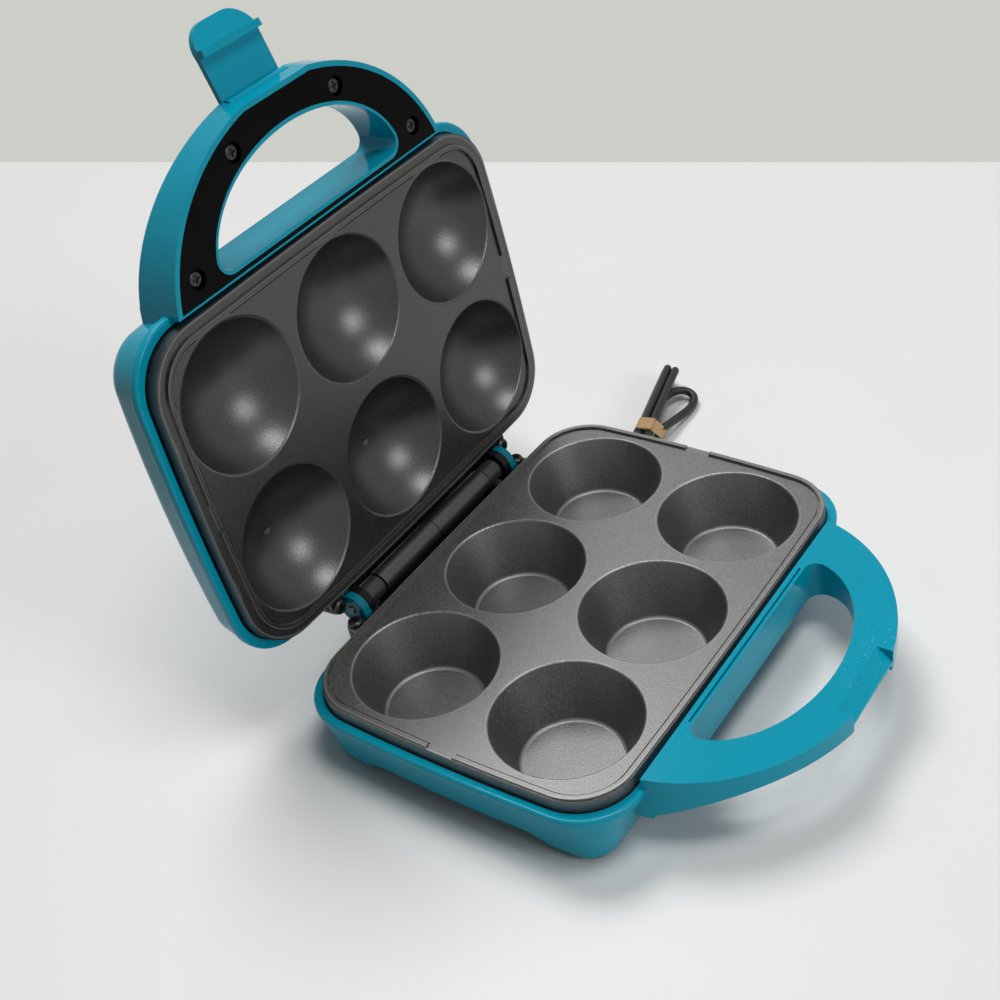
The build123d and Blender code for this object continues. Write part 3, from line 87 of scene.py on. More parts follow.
cord_exit = (33.0, 93.2, 15.5)
lead_route = [
    cord_exit, (33.0, 100.5, 15.5), (37.2, 113.5, 13.2), (48.9, 122.3, 9.2), (63.6, 122.8, 5.2),
    (76.5, 114.5, 2.8), (89.5, 103.5, 2.3), (101.5, 92.5, 2.3), (108.4, 79.0, 2.3), (109.0, 66.0, 2.5),
]
hank_route = [
    # in at the near end, along the bottom, up over the far end and back along the top
    (-21.5, 11.0, 2.8), (-14.0, 6.4, 2.75), (-5.0, 6.6, 2.65), (12.0, 6.55, 2.6), (30.0, 6.55, 2.6),
    (41.5, 6.55, 2.55), (49.6, 6.5, 2.5), (53.2, 6.4, 2.5), (55.6, 5.3, 5.05), (55.6, 3.4, 8.65),
    (53.2, 2.2, 11.2), (49.6, 2.15, 11.2), (41.5, 2.15, 11.15), (30.0, 2.15, 11.15), (12.0, 2.15, 11.15),
    (-5.0, 2.2, 11.2), (-13.0, 2.4, 11.3), (-21.0, 2.7, 11.7), (-26.5, 3.2, 10.6), (-29.0, 1.9, 7.2),
    # round the near end to the second pair of strands
    (-27.0, -0.6, 3.5), (-20.0, 0.3, 2.7), (-12.0, 2.0, 2.65), (-4.0, 2.25, 2.6), (12.0, 2.25, 2.6),
    (30.0, 2.25, 2.6), (40.0, 2.25, 2.55), (48.0, 2.2, 2.5), (51.6, 2.1, 2.5), (54.1, 0.8, 5.05),
    (54.1, -1.3, 8.65), (51.6, -2.2, 11.2), (48.0, -2.2, 11.2), (40.0, -2.15, 11.15), (30.0, -2.15, 11.15),
    (12.0, -2.15, 11.15), (-4.0, -2.2, 11.15), (-11.0, -3.4, 11.2), (-16.5, -5.2, 11.0),
    # round again to the middle strand, out under the top one and round the loose loop
    (-19.6, -3.2, 9.2), (-19.6, 3.4, 6.8), (-16.0, 7.6, 7.0), (-12.0, 6.3, 6.95), (-8.0, 4.9, 6.9),
    (-1.0, 4.4, 6.88), (10.0, 4.3, 6.88), (20.0, 3.0, 6.9), (30.0, 0.3, 6.9), (37.5, -3.4, 6.85),
    (42.3, -7.6, 5.6), (42.6, -12.6, 3.8), (38.0, -15.6, 2.9), (30.0, -14.9, 3.0), (20.0, -11.4, 4.2),
    (11.0, -8.7, 6.2), (3.5, -6.55, 7.8), (-9.5, -6.5, 6.4), (-17.5, -10.4, 4.8),
]
plug_entry = (116.2, 10.0, 7.0)
tail_route = [(118.4, 30.0, 3.9), (116.4, 22.5, 5.3), (116.2, 16.0, 7.0), plug_entry]
cord_route = np.vstack([lead_route, from_hank(hank_route), tail_route]) / 1000.0

cord_curve = bpy.data.curves.new("mains_cord", "CURVE")
cord_curve.dimensions = "3D"
cord_spline = cord_curve.splines.new("NURBS")
cord_spline.points.add(len(cord_route) - 1)
cord_spline.points.foreach_set("co", np.hstack([cord_route, np.ones((len(cord_route), 1))]).ravel())
cord_spline.points.foreach_set("radius", np.full(len(cord_route), cord_diameter / 2))
cord_spline.order_u = 3
cord_spline.use_endpoint_u = True
cord_spline.resolution_u = 8
cord_curve.bevel_depth = 1.0
cord_curve.bevel_resolution = 4
cord_curve.use_fill_caps = True
mains_cord = put("mains_cord", cord_curve)
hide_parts("cord_lead", "cord_hank", "cord_tail")
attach(mains_cord, "base")


def add(tree, kind, feeds=None, **settings):
    """A shader node with its settings made, its inputs given values or joined to other nodes' outputs."""
    node = tree.nodes.new("ShaderNode" + kind)
    for name, value in settings.items():
        setattr(node, name, value)
    for name, value in (feeds or {}).items():
        if isinstance(value, bpy.types.NodeSocket):
            tree.links.new(value, node.inputs[name])
        else:
            node.inputs[name].default_value = value
    return node


def new_group(name, inputs, outputs):
    """An effect shared by several finishes: its group, input node and output node."""
    group = bpy.data.node_groups.new(name, "ShaderNodeTree")
    for label, kind in inputs:
        group.interface.new_socket(label, in_out="INPUT", socket_type="NodeSocket" + kind)
    for label, kind in outputs:
        group.interface.new_socket(label, in_out="OUTPUT", socket_type="NodeSocket" + kind)
    return group, group.nodes.new("NodeGroupInput"), group.nodes.new("NodeGroupOutput")


def math_node(tree, operation, first, second=0.0, third=0.0):
    """The output of a Math node on two or three numbers or sockets."""
    return add(tree, "Math", {0: first, 1: second, 2: third}, operation=operation).outputs[0]


# Fine grain of a moulded or coated surface: one noise swings the colour, the roughness and the height.
grain, grain_in, grain_out = new_group(
    "fine_grain",
    [
        ("Colour", "Color"), ("Scale", "Float"), ("Contrast", "Float"), ("Roughness", "Float"),
        ("Spread", "Float"),
    ],
    [("Colour", "Color"), ("Roughness", "Float"), ("Height", "Float")],
)
grain_place = add(grain, "TexCoord").outputs["Object"]
grain_noise = add(
    grain, "TexNoise",
    {"Vector": grain_place, "Scale": grain_in.outputs["Scale"], "Detail": 2.0, "Roughness": 0.6},
).outputs["Fac"]
swing = math_node(grain, "MULTIPLY_ADD", grain_noise, 2.0, -1.0)
gain = math_node(grain, "MULTIPLY_ADD", swing, grain_in.outputs["Contrast"], 1.0)
grained = add(grain, "VectorMath", {0: grain_in.outputs["Colour"], "Scale": gain}, operation="SCALE")
grain.links.new(grained.outputs[0], grain_out.inputs["Colour"])
grain.links.new(
    math_node(grain, "MULTIPLY_ADD", swing, grain_in.outputs["Spread"], grain_in.outputs["Roughness"]),
    grain_out.inputs["Roughness"],
)
grain.links.new(grain_noise, grain_out.inputs["Height"])


def start_material(name):
    """A new material with an emptied tree: the material, its tree and its output node."""
    material = bpy.data.materials.new(name)
    material.use_nodes = True
    material.node_tree.nodes.clear()
    return material, material.node_tree, material.node_tree.nodes.new("ShaderNodeOutputMaterial")


def grained_finish(name, colour, roughness, scale, contrast=0.2, spread=0.05, height=0.0, **shine):
    """A finish of one colour with the fine grain in colour, roughness and height.

    Each entry of shine is an input of the shader, such as specular_ior_level for Specular IOR Level.
    """
    material, tree, out = start_material(name)
    fine = add(
        tree, "Group",
        {
            "Colour": (*colour, 1), "Scale": scale, "Contrast": contrast, "Roughness": roughness,
            "Spread": spread,
        },
        node_tree=grain,
    )
    feeds = {"Base Color": fine.outputs["Colour"], "Roughness": fine.outputs["Roughness"]}
    if height:
        feeds["Normal"] = add(
            tree, "Bump", {"Height": fine.outputs["Height"], "Strength": 0.6, "Distance": height}
        ).outputs[0]
    for label, value in shine.items():
        feeds[label.replace("_", " ").title().replace("Ior", "IOR")] = value
    shader = add(tree, "BsdfPrincipled", feeds)
    tree.links.new(shader.outputs["BSDF"], out.inputs["Surface"])
    return material


def dress(material, *names):
    """Put a finish in the one material slot of each carried-over node."""
    for name in names:
        parts[name].material_slots[0].material = material


cord_rubber = grained_finish(
    "cord_rubber", (0.012, 0.013, 0.012), 0.42, 1400.0, contrast=0.35, height=0.0001, specular_ior_level=0.4
)
cord_curve.materials.append(cord_rubber)


# ---------------------------------------------------------------- cord sleeve, inlet and plug
# Soft black rubber mouldings on the cord: the tapered sleeve in the rear wall and the plug,
# with two folded brass blades. They are moulded on to the cord.
moulded_rubber = grained_finish(
    "moulded_rubber", (0.014, 0.014, 0.014), 0.5, 900.0, contrast=0.4, height=0.00015, specular_ior_level=0.35
)
dress(moulded_rubber, "strain_relief", "cord_inlet", "plug_body")
blade_brass = grained_finish(
    "blade_brass", (0.78, 0.66, 0.38), 0.28, 500.0, contrast=0.1, spread=0.08, metallic=1.0
)
dress(blade_brass, "plug_blades")


# ---------------------------------------------------------------- paper band on the hank
# A strip of brown kraft paper wound once round the folded cord, its end lapped over its start
# and glued. It replaces the plain tie solid.
strands = np.array([(6.6, 2.63), (2.2, 11.18), (2.25, 2.6), (-2.2, 11.15), (4.4, 6.9), (-6.5, 7.0)])
band_width, band_thick = 9.0, 0.35
band_start, band_wrap = 0.9, 2 * math.pi + 1.3
band_gap, lap_rise, lap_run = 0.25, 0.55, 0.5
edge_flare, edge_wave, bench_clear = 0.12, 0.35, 0.2


def wound_strip(across, around):
    """A strip wound on strands.

    For each direction round the hank, the point of the strand that reaches furthest that way, moved
    outwards by the cord's radius and a small gap; the gap grows by one paper and a little more over
    the lapped end, and the edges flare by a small wave.
    """
    angle = around * band_wrap + band_start
    way = np.stack([np.cos(angle), np.sin(angle)], -1)
    far = strands[np.argmax(np.einsum("ijk,nk->ijn", way, strands), -1)]
    lapped = np.clip((around * band_wrap - 2 * math.pi + lap_run) / lap_run, 0, 1)
    flare = edge_flare * (2 * across - 1) ** 2 * (1 + np.sin(5 * angle)) / 2
    cord_radius = cord_diameter * 500
    gap = cord_radius + band_gap + lap_rise * lapped + flare
    t, z = (far + gap[..., None] * way).transpose(2, 0, 1)
    s = (across - 0.5) * band_width + edge_wave * np.sin(3 * angle)
    return np.stack([s, t, np.maximum(z, bench_clear)], -1)


def grid_mesh(name, points):
    """A smooth mesh of quads over a grid of points, each point joined to the next one both ways."""
    rows, columns = points.shape[:2]
    corner = np.arange(rows * columns).reshape(rows, columns)
    here, beside = corner[:, :-1], corner[:, 1:]
    quads = np.stack([here[:-1], beside[:-1], beside[1:], here[1:]], -1).reshape(-1, 4)
    mesh = bpy.data.meshes.new(name)
    mesh.from_pydata(points.reshape(-1, 3).tolist(), [], quads.tolist())
    mesh.polygons.foreach_set("use_smooth", np.ones(len(quads), bool))
    return mesh


strip_across, strip_around = np.meshgrid(np.linspace(0, 1, 13), np.linspace(0, 1, 150), indexing="ij")
strip = wound_strip(strip_across, strip_around)
strip_points = from_hank(strip.reshape(-1, 3)).reshape(*strip.shape) / 1000
paper_band = put("paper_band", grid_mesh("paper_band", strip_points))
paper_wall = paper_band.modifiers.new("paper", "SOLIDIFY")
paper_wall.thickness, paper_wall.offset = band_thick / 1000, 0.0
kraft_paper = grained_finish(
    "kraft_paper", (0.42, 0.28, 0.145), 0.85, 700.0, contrast=0.35, height=0.0002, specular_ior_level=0.15
)
paper_band.data.materials.append(kraft_paper)
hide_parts("cord_tie")
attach(paper_band, "base")


# ---------------------------------------------------------------- bench and light
# A pale bench top whose far edge shows, a grey-white room, a large window behind the lid and a
# lower one in front of the handles.
def bench_point(across, rise):
    """Where a line of sight, given by its slopes across and up the view, meets the bench."""
    sight = forward + right * across + up * rise
    return camera_place - sight * (camera_place.z / sight.z)


far_left, far_right = bench_point(-0.385, 0.2275), bench_point(0.385, 0.2275)
near_left = bench_point(-0.385, -0.5)
along_edge, along_side = (far_right - far_left).normalized(), (near_left - far_left).normalized()
bench_length, depth_at_left, depth_at_right = 2.8, 1.6, 2.4
bench_end = far_left + along_edge * bench_length
corners = [
    far_left, bench_end, bench_end + along_side * depth_at_right, far_left + along_side * depth_at_left
]
bench_mesh = bpy.data.meshes.new("bench")
bench_mesh.from_pydata([tuple(c) for c in corners], [], [(0, 3, 2, 1)])
bench = put("bench", bench_mesh)
if bench_mesh.polygons[0].normal.z < 0:
    bench_mesh.flip_normals()
bench_material = grained_finish(
    "bench", (0.80, 0.80, 0.79), 0.4, 8.0, contrast=0.02, spread=0.03, specular_ior_level=0.3
)
bench_mesh.materials.append(bench_material)

world = bpy.data.worlds.new("room")
bpy.context.scene.world = world
world.use_nodes = True
room = world.node_tree
room.nodes.clear()
room_out = room.nodes.new("ShaderNodeOutputWorld")
lit = add(room, "Background", {"Color": (1.0, 1.0, 0.99, 1), "Strength": 0.10})
seen = add(room, "Background", {"Color": (0.61, 0.62, 0.58, 1), "Strength": 1.0})
# The camera sees the room at its own tone, and so does what metal, gloss and glass show of it.
rays = add(room, "LightPath").outputs
mirrored = math_node(room, "MAXIMUM", rays["Is Glossy Ray"], rays["Is Transmission Ray"])
sees_room = math_node(room, "MAXIMUM", rays["Is Camera Ray"], mirrored)
shown = add(room, "MixShader", {"Fac": sees_room, 1: lit.outputs[0], 2: seen.outputs[0]})
room.links.new(shown.outputs[0], room_out.inputs["Surface"])


def soft_light(name, place, aim, size, power):
    """A square area lamp at a place, turned towards a point."""
    lamp = bpy.data.lights.new(name, "AREA")
    lamp.shape, lamp.size, lamp.energy = "SQUARE", size, power
    made = put(name, lamp)
    made.location = place
    made.rotation_euler = (Vector(aim) - Vector(place)).to_track_quat("-Z", "Y").to_euler()
    return made


soft_light("window", (0.55, 0.88, 1.94), (0, 0, 0.05), 0.9, 25.0)
soft_light("ceiling", (0.05, -0.45, 2.05), (0, 0, 0), 0.7, 15.0)
soft_light("front_window", (0.0, -1.6, 0.88), (0, 0.05, 0.12), 0.6, 9.0)


# ---------------------------------------------------------------- teal housings and latch
# Glossy moulded plastic in teal: the base's shell with its loop handle, the lid's shell with its
# own, and the latch on the lid's handle. The lid's hinge ears and the stretch beside the hinge
# barrel are painted black as shade, and the teal behind the cup plate has painted shade.
# Specks on what faces up: partly real dust, and partly a painted glare of light on the tops.
dust_and_glare, dust_and_glare_in, dust_and_glare_out = new_group(
    "dust_and_painted_glare", [("Scale", "Float"), ("Amount", "Float")], [("Mask", "Float")]
)
dust_and_glare_place = add(dust_and_glare, "TexCoord").outputs["Object"]
speck = add(
    dust_and_glare, "TexNoise", {"Vector": dust_and_glare_place, "Scale": dust_and_glare_in.outputs["Scale"], "Detail": 1.0}
).outputs["Fac"]
patch = add(dust_and_glare, "TexNoise", {"Vector": dust_and_glare_place, "Scale": 28.0, "Detail": 2.0}).outputs["Fac"]
lies = add(dust_and_glare, "SeparateXYZ", {0: add(dust_and_glare, "NewGeometry").outputs["Normal"]}).outputs["Z"]
sharp = add(dust_and_glare, "MapRange", {0: speck, 1: 0.64, 2: 0.72}).outputs[0]
where = add(dust_and_glare, "MapRange", {0: patch, 1: 0.50, 2: 0.66}).outputs[0]
flat = add(dust_and_glare, "MapRange", {0: lies, 1: 0.5, 2: 0.95}).outputs[0]
spread = math_node(dust_and_glare, "MULTIPLY", math_node(dust_and_glare, "MULTIPLY", sharp, where), flat)
dust_and_glare.links.new(math_node(dust_and_glare, "MULTIPLY", spread, dust_and_glare_in.outputs["Amount"]), dust_and_glare_out.inputs["Mask"])


def below(tree, value, limit):
    """1 where a value is under a limit, and 0 elsewhere."""
    return math_node(tree, "LESS_THAN", value, limit)


def both(tree, first, second):
    """Two masks multiplied: what lies in both."""
    return math_node(tree, "MULTIPLY", first, second)


def either(tree, first, second):
    """The greater of two masks: what lies in either."""
    return math_node(tree, "MAXIMUM", first, second)


def mixed(tree, mask, first, second):
    """The first colour, and the second where the mask is 1."""
    return add(tree, "Mix", {0: mask, 6: first, 7: second}, data_type="RGBA").outputs[2]


# Where the painted shade near the hinge lies, in metres: between the ears along x, behind the cup
# plate, along the lid's wall, and the lid's ears themselves.
barrel_middle, ear_gap_half = 0.003, 0.0466
behind_plate_y, base_wall_z = 0.0728, 0.044
lid_wall_y, lid_wall_z = 0.0925, 0.048
lid_ear_y, lid_ear_z, lid_ear_top_z = 0.0884, 0.0385, 0.046


def teal_finish(name, black_shaded_ears=False):
    """Teal plastic, faintly cloudy and wavy, with dust and painted glare on what faces up, and painted shade
    behind the cup plate.

    The stretch beside the hinge barrel is painted black as shade, and so are the hinge ears when asked.
    """
    material, tree, out = start_material(name)
    cloud = add(
        tree, "Group",
        {
            "Colour": (0.0, 0.30, 0.43, 1), "Scale": 22.0, "Contrast": 0.06, "Roughness": 0.13,
            "Spread": 0.04,
        },
        node_tree=grain,
    )
    dust_and_glare_layer = add(tree, "Group", {"Scale": 900.0, "Amount": 0.25}, node_tree=dust_and_glare)
    colour = mixed(tree, dust_and_glare_layer.outputs["Mask"], cloud.outputs["Colour"], (0.45, 0.62, 0.66, 1))
    place = add(tree, "TexCoord").outputs["Object"]
    aside, reach_y, reach_z = add(tree, "SeparateXYZ", {0: place}).outputs
    off_middle = math_node(tree, "ABSOLUTE", math_node(tree, "SUBTRACT", aside, barrel_middle))
    between_ears = below(tree, off_middle, ear_gap_half)
    shade_behind_plate = both(
        tree, math_node(tree, "GREATER_THAN", reach_y, behind_plate_y), below(tree, reach_z, base_wall_z)
    )
    beside_barrel = shade_behind_plate
    if black_shaded_ears:
        beside_barrel = both(tree, below(tree, reach_z, lid_wall_z), below(tree, reach_y, lid_wall_y))
    # Painted shade: the stretch beside the hinge barrel, and the lid's hinge ears, are painted black.
    black = both(tree, between_ears, beside_barrel)
    if black_shaded_ears:
        ears = either(tree, below(tree, reach_z, lid_ear_z), below(tree, reach_y, lid_ear_y))
        black = either(tree, black, both(tree, ears, below(tree, reach_z, lid_ear_top_z)))
    # Painted shade: the teal behind the cup plate is darkened towards deep blue-green.
    colour = mixed(tree, math_node(tree, "MULTIPLY", shade_behind_plate, 0.45), colour, (0, 0.03, 0.045, 1))
    colour = mixed(tree, black, colour, (0.008, 0.008, 0.008, 1))
    wave = add(tree, "TexNoise", {"Vector": place, "Scale": 160.0, "Detail": 1.0}).outputs["Fac"]
    wavy = add(tree, "Bump", {"Height": wave, "Strength": 0.12, "Distance": 0.0004}).outputs[0]
    shader = add(
        tree, "BsdfPrincipled",
        {
            "Base Color": colour, "Roughness": cloud.outputs["Roughness"], "Normal": wavy,
            "Specular IOR Level": 0.17,
        },
    )
    tree.links.new(shader.outputs["BSDF"], out.inputs["Surface"])
    return material


teal_plastic = teal_finish("teal_plastic")
dress(teal_plastic, "base_housing", "latch")
dress(teal_finish("teal_plastic_lid", black_shaded_ears=True), "lid_housing")


# ---------------------------------------------------------------- cup plate and dome plate
# Cast aluminium plates with a dark non-stick coating: fine light specks in it, and painted highlights
# along the edges of the cups and domes and along the plates' rims. They are screwed into the two housings.
specks, specks_in, specks_out = new_group(
    "coating_specks", [("Ground", "Color"), ("Speck", "Color"), ("Scale", "Float")],
    [("Colour", "Color"), ("Height", "Float")],
)
specks_place = add(specks, "TexCoord").outputs["Object"]
fleck = add(
    specks, "TexNoise",
    {"Vector": specks_place, "Scale": specks_in.outputs["Scale"], "Detail": 1.5, "Roughness": 0.7},
).outputs["Fac"]
clear = add(specks, "MapRange", {0: fleck, 1: 0.44, 2: 0.66}).outputs[0]
flecked = mixed(specks, clear, specks_in.outputs["Ground"], specks_in.outputs["Speck"])
specks.links.new(flecked, specks_out.inputs["Colour"])
specks.links.new(fleck, specks_out.inputs["Height"])

# A ring round each cup, at a radius and depth, where a highlight is painted.
edges, edges_in, edges_out = new_group(
    "cup_edges",
    [("Vector", "Vector"), ("Radius", "Float"), ("Depth", "Float"), ("Width", "Float")],
    [("Mask", "Float")],
)
cup_pitch, row_pitch = 0.066, 0.0676


def distance(tree, first, second):
    """The root of the sum of two squares."""
    squares = math_node(
        tree, "ADD", math_node(tree, "MULTIPLY", first, first), math_node(tree, "MULTIPLY", second, second)
    )
    return math_node(tree, "SQRT", squares)


def off_from(tree, value, line):
    """How far a value is from a line, on either side."""
    return math_node(tree, "ABSOLUTE", math_node(tree, "SUBTRACT", value, line))


def faded(tree, off, width):
    """1 on a line, falling to 0 at a width from it and less beyond."""
    return math_node(tree, "SUBTRACT", 1.0, math_node(tree, "DIVIDE", off, width))


edge_x, edge_y, edge_z = add(edges, "SeparateXYZ", {0: edges_in.outputs["Vector"]}).outputs
column = math_node(edges, "ROUND", math_node(edges, "DIVIDE", edge_x, cup_pitch))
off_x = math_node(edges, "SUBTRACT", edge_x, math_node(edges, "MULTIPLY", column, cup_pitch))
off_y = math_node(edges, "SUBTRACT", math_node(edges, "ABSOLUTE", edge_y), row_pitch / 2)
beside = off_from(edges, distance(edges, off_x, off_y), edges_in.outputs["Radius"])
under = off_from(edges, edge_z, edges_in.outputs["Depth"])
near = faded(edges, beside, edges_in.outputs["Width"])
level = faded(edges, under, edges_in.outputs["Width"])
edges.links.new(
    add(edges, "Clamp", {0: math_node(edges, "MINIMUM", near, level)}).outputs[0], edges_out.inputs["Mask"]
)

# A line along the plate's rounded and bowed edge, at an inset from it, on the plate's face, where a highlight
# is painted.
rim, rim_in, rim_out = new_group(
    "plate_rim", [("Vector", "Vector"), ("Inset", "Float"), ("Width", "Float")], [("Mask", "Float")]
)
plate_x, plate_y, plate_round, bow_x, bow_y = 0.1036, 0.0723, 0.024, 0.0024, 0.0014
face_half = 0.0016
rim_x, rim_y, rim_z = add(rim, "SeparateXYZ", {0: rim_in.outputs["Vector"]}).outputs


def past_side(side, other, half, bow, other_half):
    """How far a point is past the start of the corner on one side, the side being bowed by a parabola."""
    bulge = math_node(rim, "MULTIPLY", math_node(rim, "MULTIPLY", other, other), bow / other_half**2)
    return math_node(
        rim, "SUBTRACT", math_node(rim, "ADD", math_node(rim, "ABSOLUTE", side), bulge), half - plate_round
    )


past_x = past_side(rim_x, rim_y, plate_x, bow_x, plate_y)
past_y = past_side(rim_y, rim_x, plate_y, bow_y, plate_x)
corner_x, corner_y = either(rim, past_x, 0.0), either(rim, past_y, 0.0)
straight = math_node(rim, "MINIMUM", either(rim, past_x, past_y), 0.0)
inset = math_node(
    rim, "SUBTRACT", plate_round, math_node(rim, "ADD", distance(rim, corner_x, corner_y), straight)
)
on_rim = faded(rim, off_from(rim, inset, rim_in.outputs["Inset"]), rim_in.outputs["Width"])
on_face = below(rim, math_node(rim, "ABSOLUTE", rim_z), face_half)
rim.links.new(both(rim, add(rim, "Clamp", {0: on_rim}).outputs[0], on_face), rim_out.inputs["Mask"])


def plate_finish(name, turn, shift, flip, rings, lines, ground, speck, ior, dull):
    """Non-stick coating in a frame whose face is at depth nought.

    Rings (radius, depth, width, strength) are painted highlights round the cups, and lines (inset,
    width, strength) painted highlights along the plate's edge.
    """
    material, tree, out = start_material(name)
    coat = add(
        tree, "Group", {"Ground": (*ground, 1), "Speck": (*speck, 1), "Scale": 1900.0}, node_tree=specks
    )
    place = add(tree, "TexCoord").outputs["Object"]
    local = add(
        tree, "Mapping", {"Vector": place, "Location": shift, "Rotation": (turn, 0, 0), "Scale": (1, 1, flip)}
    ).outputs[0]
    painted_highlight = 0.0
    for radius, depth, width, strength in rings:
        ring = add(
            tree, "Group", {"Vector": local, "Radius": radius, "Depth": depth, "Width": width},
            node_tree=edges,
        )
        painted_highlight = either(tree, painted_highlight, both(tree, ring.outputs["Mask"], strength))
    for inset_by, width, strength in lines:
        line = add(tree, "Group", {"Vector": local, "Inset": inset_by, "Width": width}, node_tree=rim)
        painted_highlight = either(tree, painted_highlight, both(tree, line.outputs["Mask"], strength))
    # Painted highlight: the coating turns a light grey on the rings and lines.
    colour = mixed(tree, painted_highlight, coat.outputs["Colour"], (0.26, 0.25, 0.24, 1))
    broad = add(tree, "TexNoise", {"Vector": place, "Scale": 45.0, "Detail": 3.0}).outputs["Fac"]
    cloudy = math_node(tree, "MULTIPLY_ADD", broad, 0.06, dull)
    rough = math_node(tree, "MULTIPLY_ADD", coat.outputs["Height"], 0.2, cloudy)
    rise = add(
        tree, "Bump", {"Height": coat.outputs["Height"], "Strength": 0.6, "Distance": 0.00012}
    ).outputs[0]
    shader = add(
        tree, "BsdfPrincipled",
        {
            "Base Color": colour, "Roughness": rough, "Normal": rise, "IOR": ior,
            "Specular IOR Level": 0.42,
        },
    )
    tree.links.new(shader.outputs["BSDF"], out.inputs["Surface"])
    return material


cup_rings = [(0.0306, 0.0, 0.0009, 0.45), (0.0209, 0.0238, 0.0010, 0.5)]
cup_lines = [(0.0006, 0.0006, 0.6), (0.0024, 0.0003, 0.35)]
# The cup plate's coating is painted lighter than the dome plate's: the same coating, its lit copy here.
dress(
    plate_finish(
        "cup_plate_coating_lit", 0.0, (0, 0, 0.035), -1.0, cup_rings, cup_lines, (0.0025, 0.0025, 0.003),
        (0.085, 0.083, 0.077), 2.45, 0.27,
    ),
    "lower_plate",
)
hinge_y, hinge_z, opened = 0.0814, 0.03615, math.radians(96.0)
dome_shift = (
    0.0,
    hinge_y - (math.cos(opened) * hinge_y - math.sin(opened) * hinge_z),
    -0.00115 - (math.sin(opened) * hinge_y + math.cos(opened) * hinge_z),
)
dome_rings = [(0.0300, 0.0, 0.0006, 0.3)]
dome_lines = [(0.0004, 0.0006, 0.5), (0.0044, 0.0004, 0.4), (0.0060, 0.0003, 0.3)]
# The dome plate's coating is painted darker, as the shaded copy of the same coating.
dress(
    plate_finish(
        "dome_plate_coating_shaded", opened, dome_shift, 1.0, dome_rings, dome_lines, (0.001, 0.001, 0.001),
        (0.030, 0.0294, 0.028), 1.85, 0.18,
    ),
    "upper_plate",
)


# ---------------------------------------------------------------- handle cover and black screws
# A glossy black plate let into the lid's handle, held by four cross-head screws in round cups;
# two more black screws hold each hot plate beside the hinge.
dress(
    grained_finish(
        "gloss_black", (0.001, 0.001, 0.001), 0.05, 60.0, contrast=0.2, spread=0.02,
        specular_ior_level=0.3, ior=1.2,
    ),
    "handle_cover",
)
dress(
    grained_finish("black_screw", (0.05, 0.05, 0.05), 0.26, 900.0, contrast=0.4, spread=0.1, metallic=0.7),
    "handle_cover_screws", "lower_plate_screws", "upper_plate_screws",
)


# ---------------------------------------------------------------- hinge
# Two black moulded brackets carry half a barrel each and turn on steel pins; a loose collar sits
# on each pin beside the ears. The brackets are screwed down inside the housings.
satin_black = grained_finish(
    "satin_black", (0.014, 0.0135, 0.013), 0.33, 1100.0, contrast=0.6, spread=0.1, height=0.00012,
    specular_ior_level=1.0,
)
dress(satin_black, "base_hinge_bracket", "lid_hinge_bracket", "cord_clamp", "bottom_cover")
dress(
    grained_finish(
        "collar_plastic", (0.028, 0.028, 0.029), 0.3, 900.0, contrast=0.3, spread=0.1, height=0.0001
    ),
    "hinge_collars",
)
dress(
    grained_finish("pin_steel", (0.10, 0.10, 0.10), 0.4, 700.0, contrast=0.1, metallic=1.0),
    "hinge_pins", "latch_pin",
)
plated_steel = grained_finish(
    "plated_screw", (0.62, 0.61, 0.58), 0.3, 700.0, contrast=0.12, spread=0.08, metallic=1.0
)
dress(
    plated_steel, "lower_reflector_screws", "terminal_block_screw", "bottom_cover_screws",
    "base_bracket_screws", "cord_clamp_screws", "upper_reflector_screws", "lid_bracket_screws",
)


# ---------------------------------------------------------------- painted shade in the hinge gap
# Folded black sheets on the base, put in the gap behind and under the hinge barrel as painted shade.
# Their five lengths along x are tall behind the two collars, lower by the ears, and lowest under the open
# lid's bracket.
def swept_strip(start, end, profile, stations=4):
    """A strip made by carrying a profile of (y, z) points along x from start to end, in millimetres."""
    x = np.linspace(start, end, stations)
    y, z = np.array(profile, float).T
    along = np.repeat(x[:, None], len(y), 1)
    return np.stack([along, np.tile(y, (stations, 1)), np.tile(z, (stations, 1))], -1)


shade_sheet_thick, shade_sheet_back = 0.001, 88.6
shade_sheet_low = [(73.6, 24.2), (86.6, 24.2), (88.0, 24.6), (shade_sheet_back, 25.8)]
shade_sheets = [
    ("outer_left", -50.6, -46.7, 32.5), ("left", -46.6, -36.3, 39.4), ("middle", 3.1, 42.2, 27.4),
    ("right", 42.3, 52.7, 39.4), ("outer_right", 52.8, 60.8, 32.5),
]
for side, start, end, top in shade_sheets:
    shade_sheet_name = "hinge_gap_shade_" + side
    shade_sheet_points = swept_strip(start, end, shade_sheet_low + [(shade_sheet_back, top)]) / 1000
    shade_sheet = put(shade_sheet_name, grid_mesh(shade_sheet_name, shade_sheet_points))
    shade_sheet_wall = shade_sheet.modifiers.new("sheet", "SOLIDIFY")
    shade_sheet_wall.thickness, shade_sheet_wall.offset = shade_sheet_thick, 0.0
    shade_sheet.data.polygons.foreach_set("use_smooth", np.zeros(len(shade_sheet.data.polygons), bool))
    shade_sheet.data.materials.append(satin_black)
    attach(shade_sheet, "base")


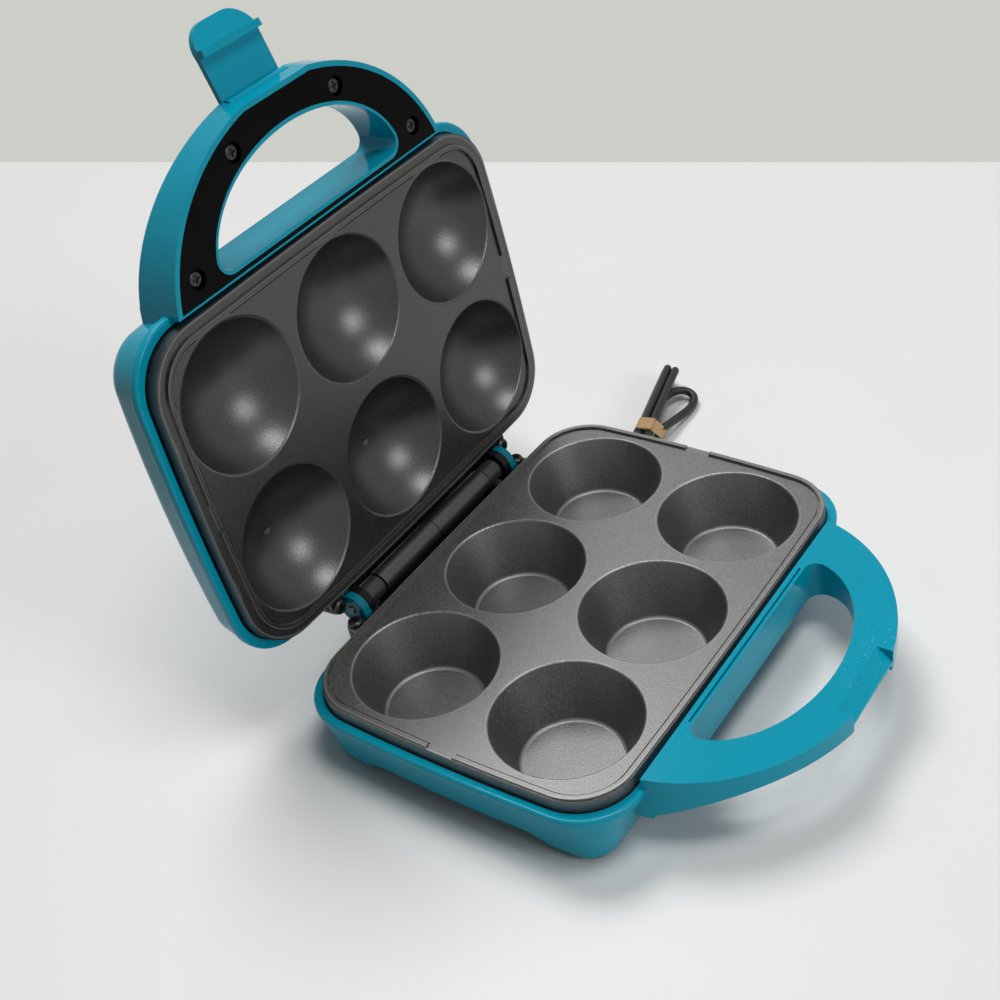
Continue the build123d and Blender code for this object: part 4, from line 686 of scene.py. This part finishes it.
# ---------------------------------------------------------------- heaters, reflectors and controls
# Dark steel-sheathed rods bent round the cups, bright aluminised sheets behind them, and the
# thermostat, fuse, ceramic block and fibreglass-sleeved leads that join them.
dress(
    grained_finish(
        "element_sheath", (0.10, 0.09, 0.08), 0.4, 500.0, contrast=0.35, spread=0.12, metallic=1.0
    ),
    "lower_element", "upper_element",
)
dress(
    grained_finish(
        "aluminised_sheet", (0.66, 0.67, 0.68), 0.34, 90.0, contrast=0.1, spread=0.12, metallic=1.0
    ),
    "lower_reflector", "upper_reflector", "thermostat",
)
dress(grained_finish("fuse_can", (0.70, 0.60, 0.36), 0.3, 400.0, contrast=0.1, metallic=1.0), "thermal_fuse")
dress(
    grained_finish("ceramic_block", (0.78, 0.75, 0.67), 0.45, 600.0, contrast=0.08, height=0.0001),
    "terminal_block",
)
dress(
    grained_finish("glass_sleeve", (0.66, 0.63, 0.56), 0.65, 1800.0, contrast=0.25, height=0.0002),
    "supply_leads", "lower_element_leads", "control_leads", "hinge_lead_base", "hinge_lead_lid",
    "upper_element_leads", "lamp_leads",
)


# ---------------------------------------------------------------- feet
# Four round black rubber pads, each with a stub pressed up into a corner of the base's housing.
dress(
    grained_finish(
        "foot_rubber", (0.02, 0.02, 0.02), 0.75, 1000.0, contrast=0.4, height=0.0003,
        specular_ior_level=0.3,
    ),
    "foot_pads",
)


# ---------------------------------------------------------------- signal lenses and lamps
# A red and a green lens in the lid's crown, each with a flange under the shell and a small neon
# lamp behind it.
for name, colour in (("red", (0.55, 0.02, 0.015)), ("green", (0.03, 0.42, 0.08))):
    lens = grained_finish(
        "lens_" + name, colour, 0.12, 300.0, contrast=0.15, spread=0.04, height=0.00005, coat_weight=0.5
    )
    dress(lens, "indicator_lens_" + name)
dress(
    grained_finish(
        "lamp_glass", (0.85, 0.80, 0.76), 0.06, 200.0, contrast=0.05, spread=0.02,
        transmission_weight=0.7,
    ),
    "neon_lamps",
)

bpy.context.scene.view_settings.view_transform = "Standard"
bpy.context.view_layer.update()
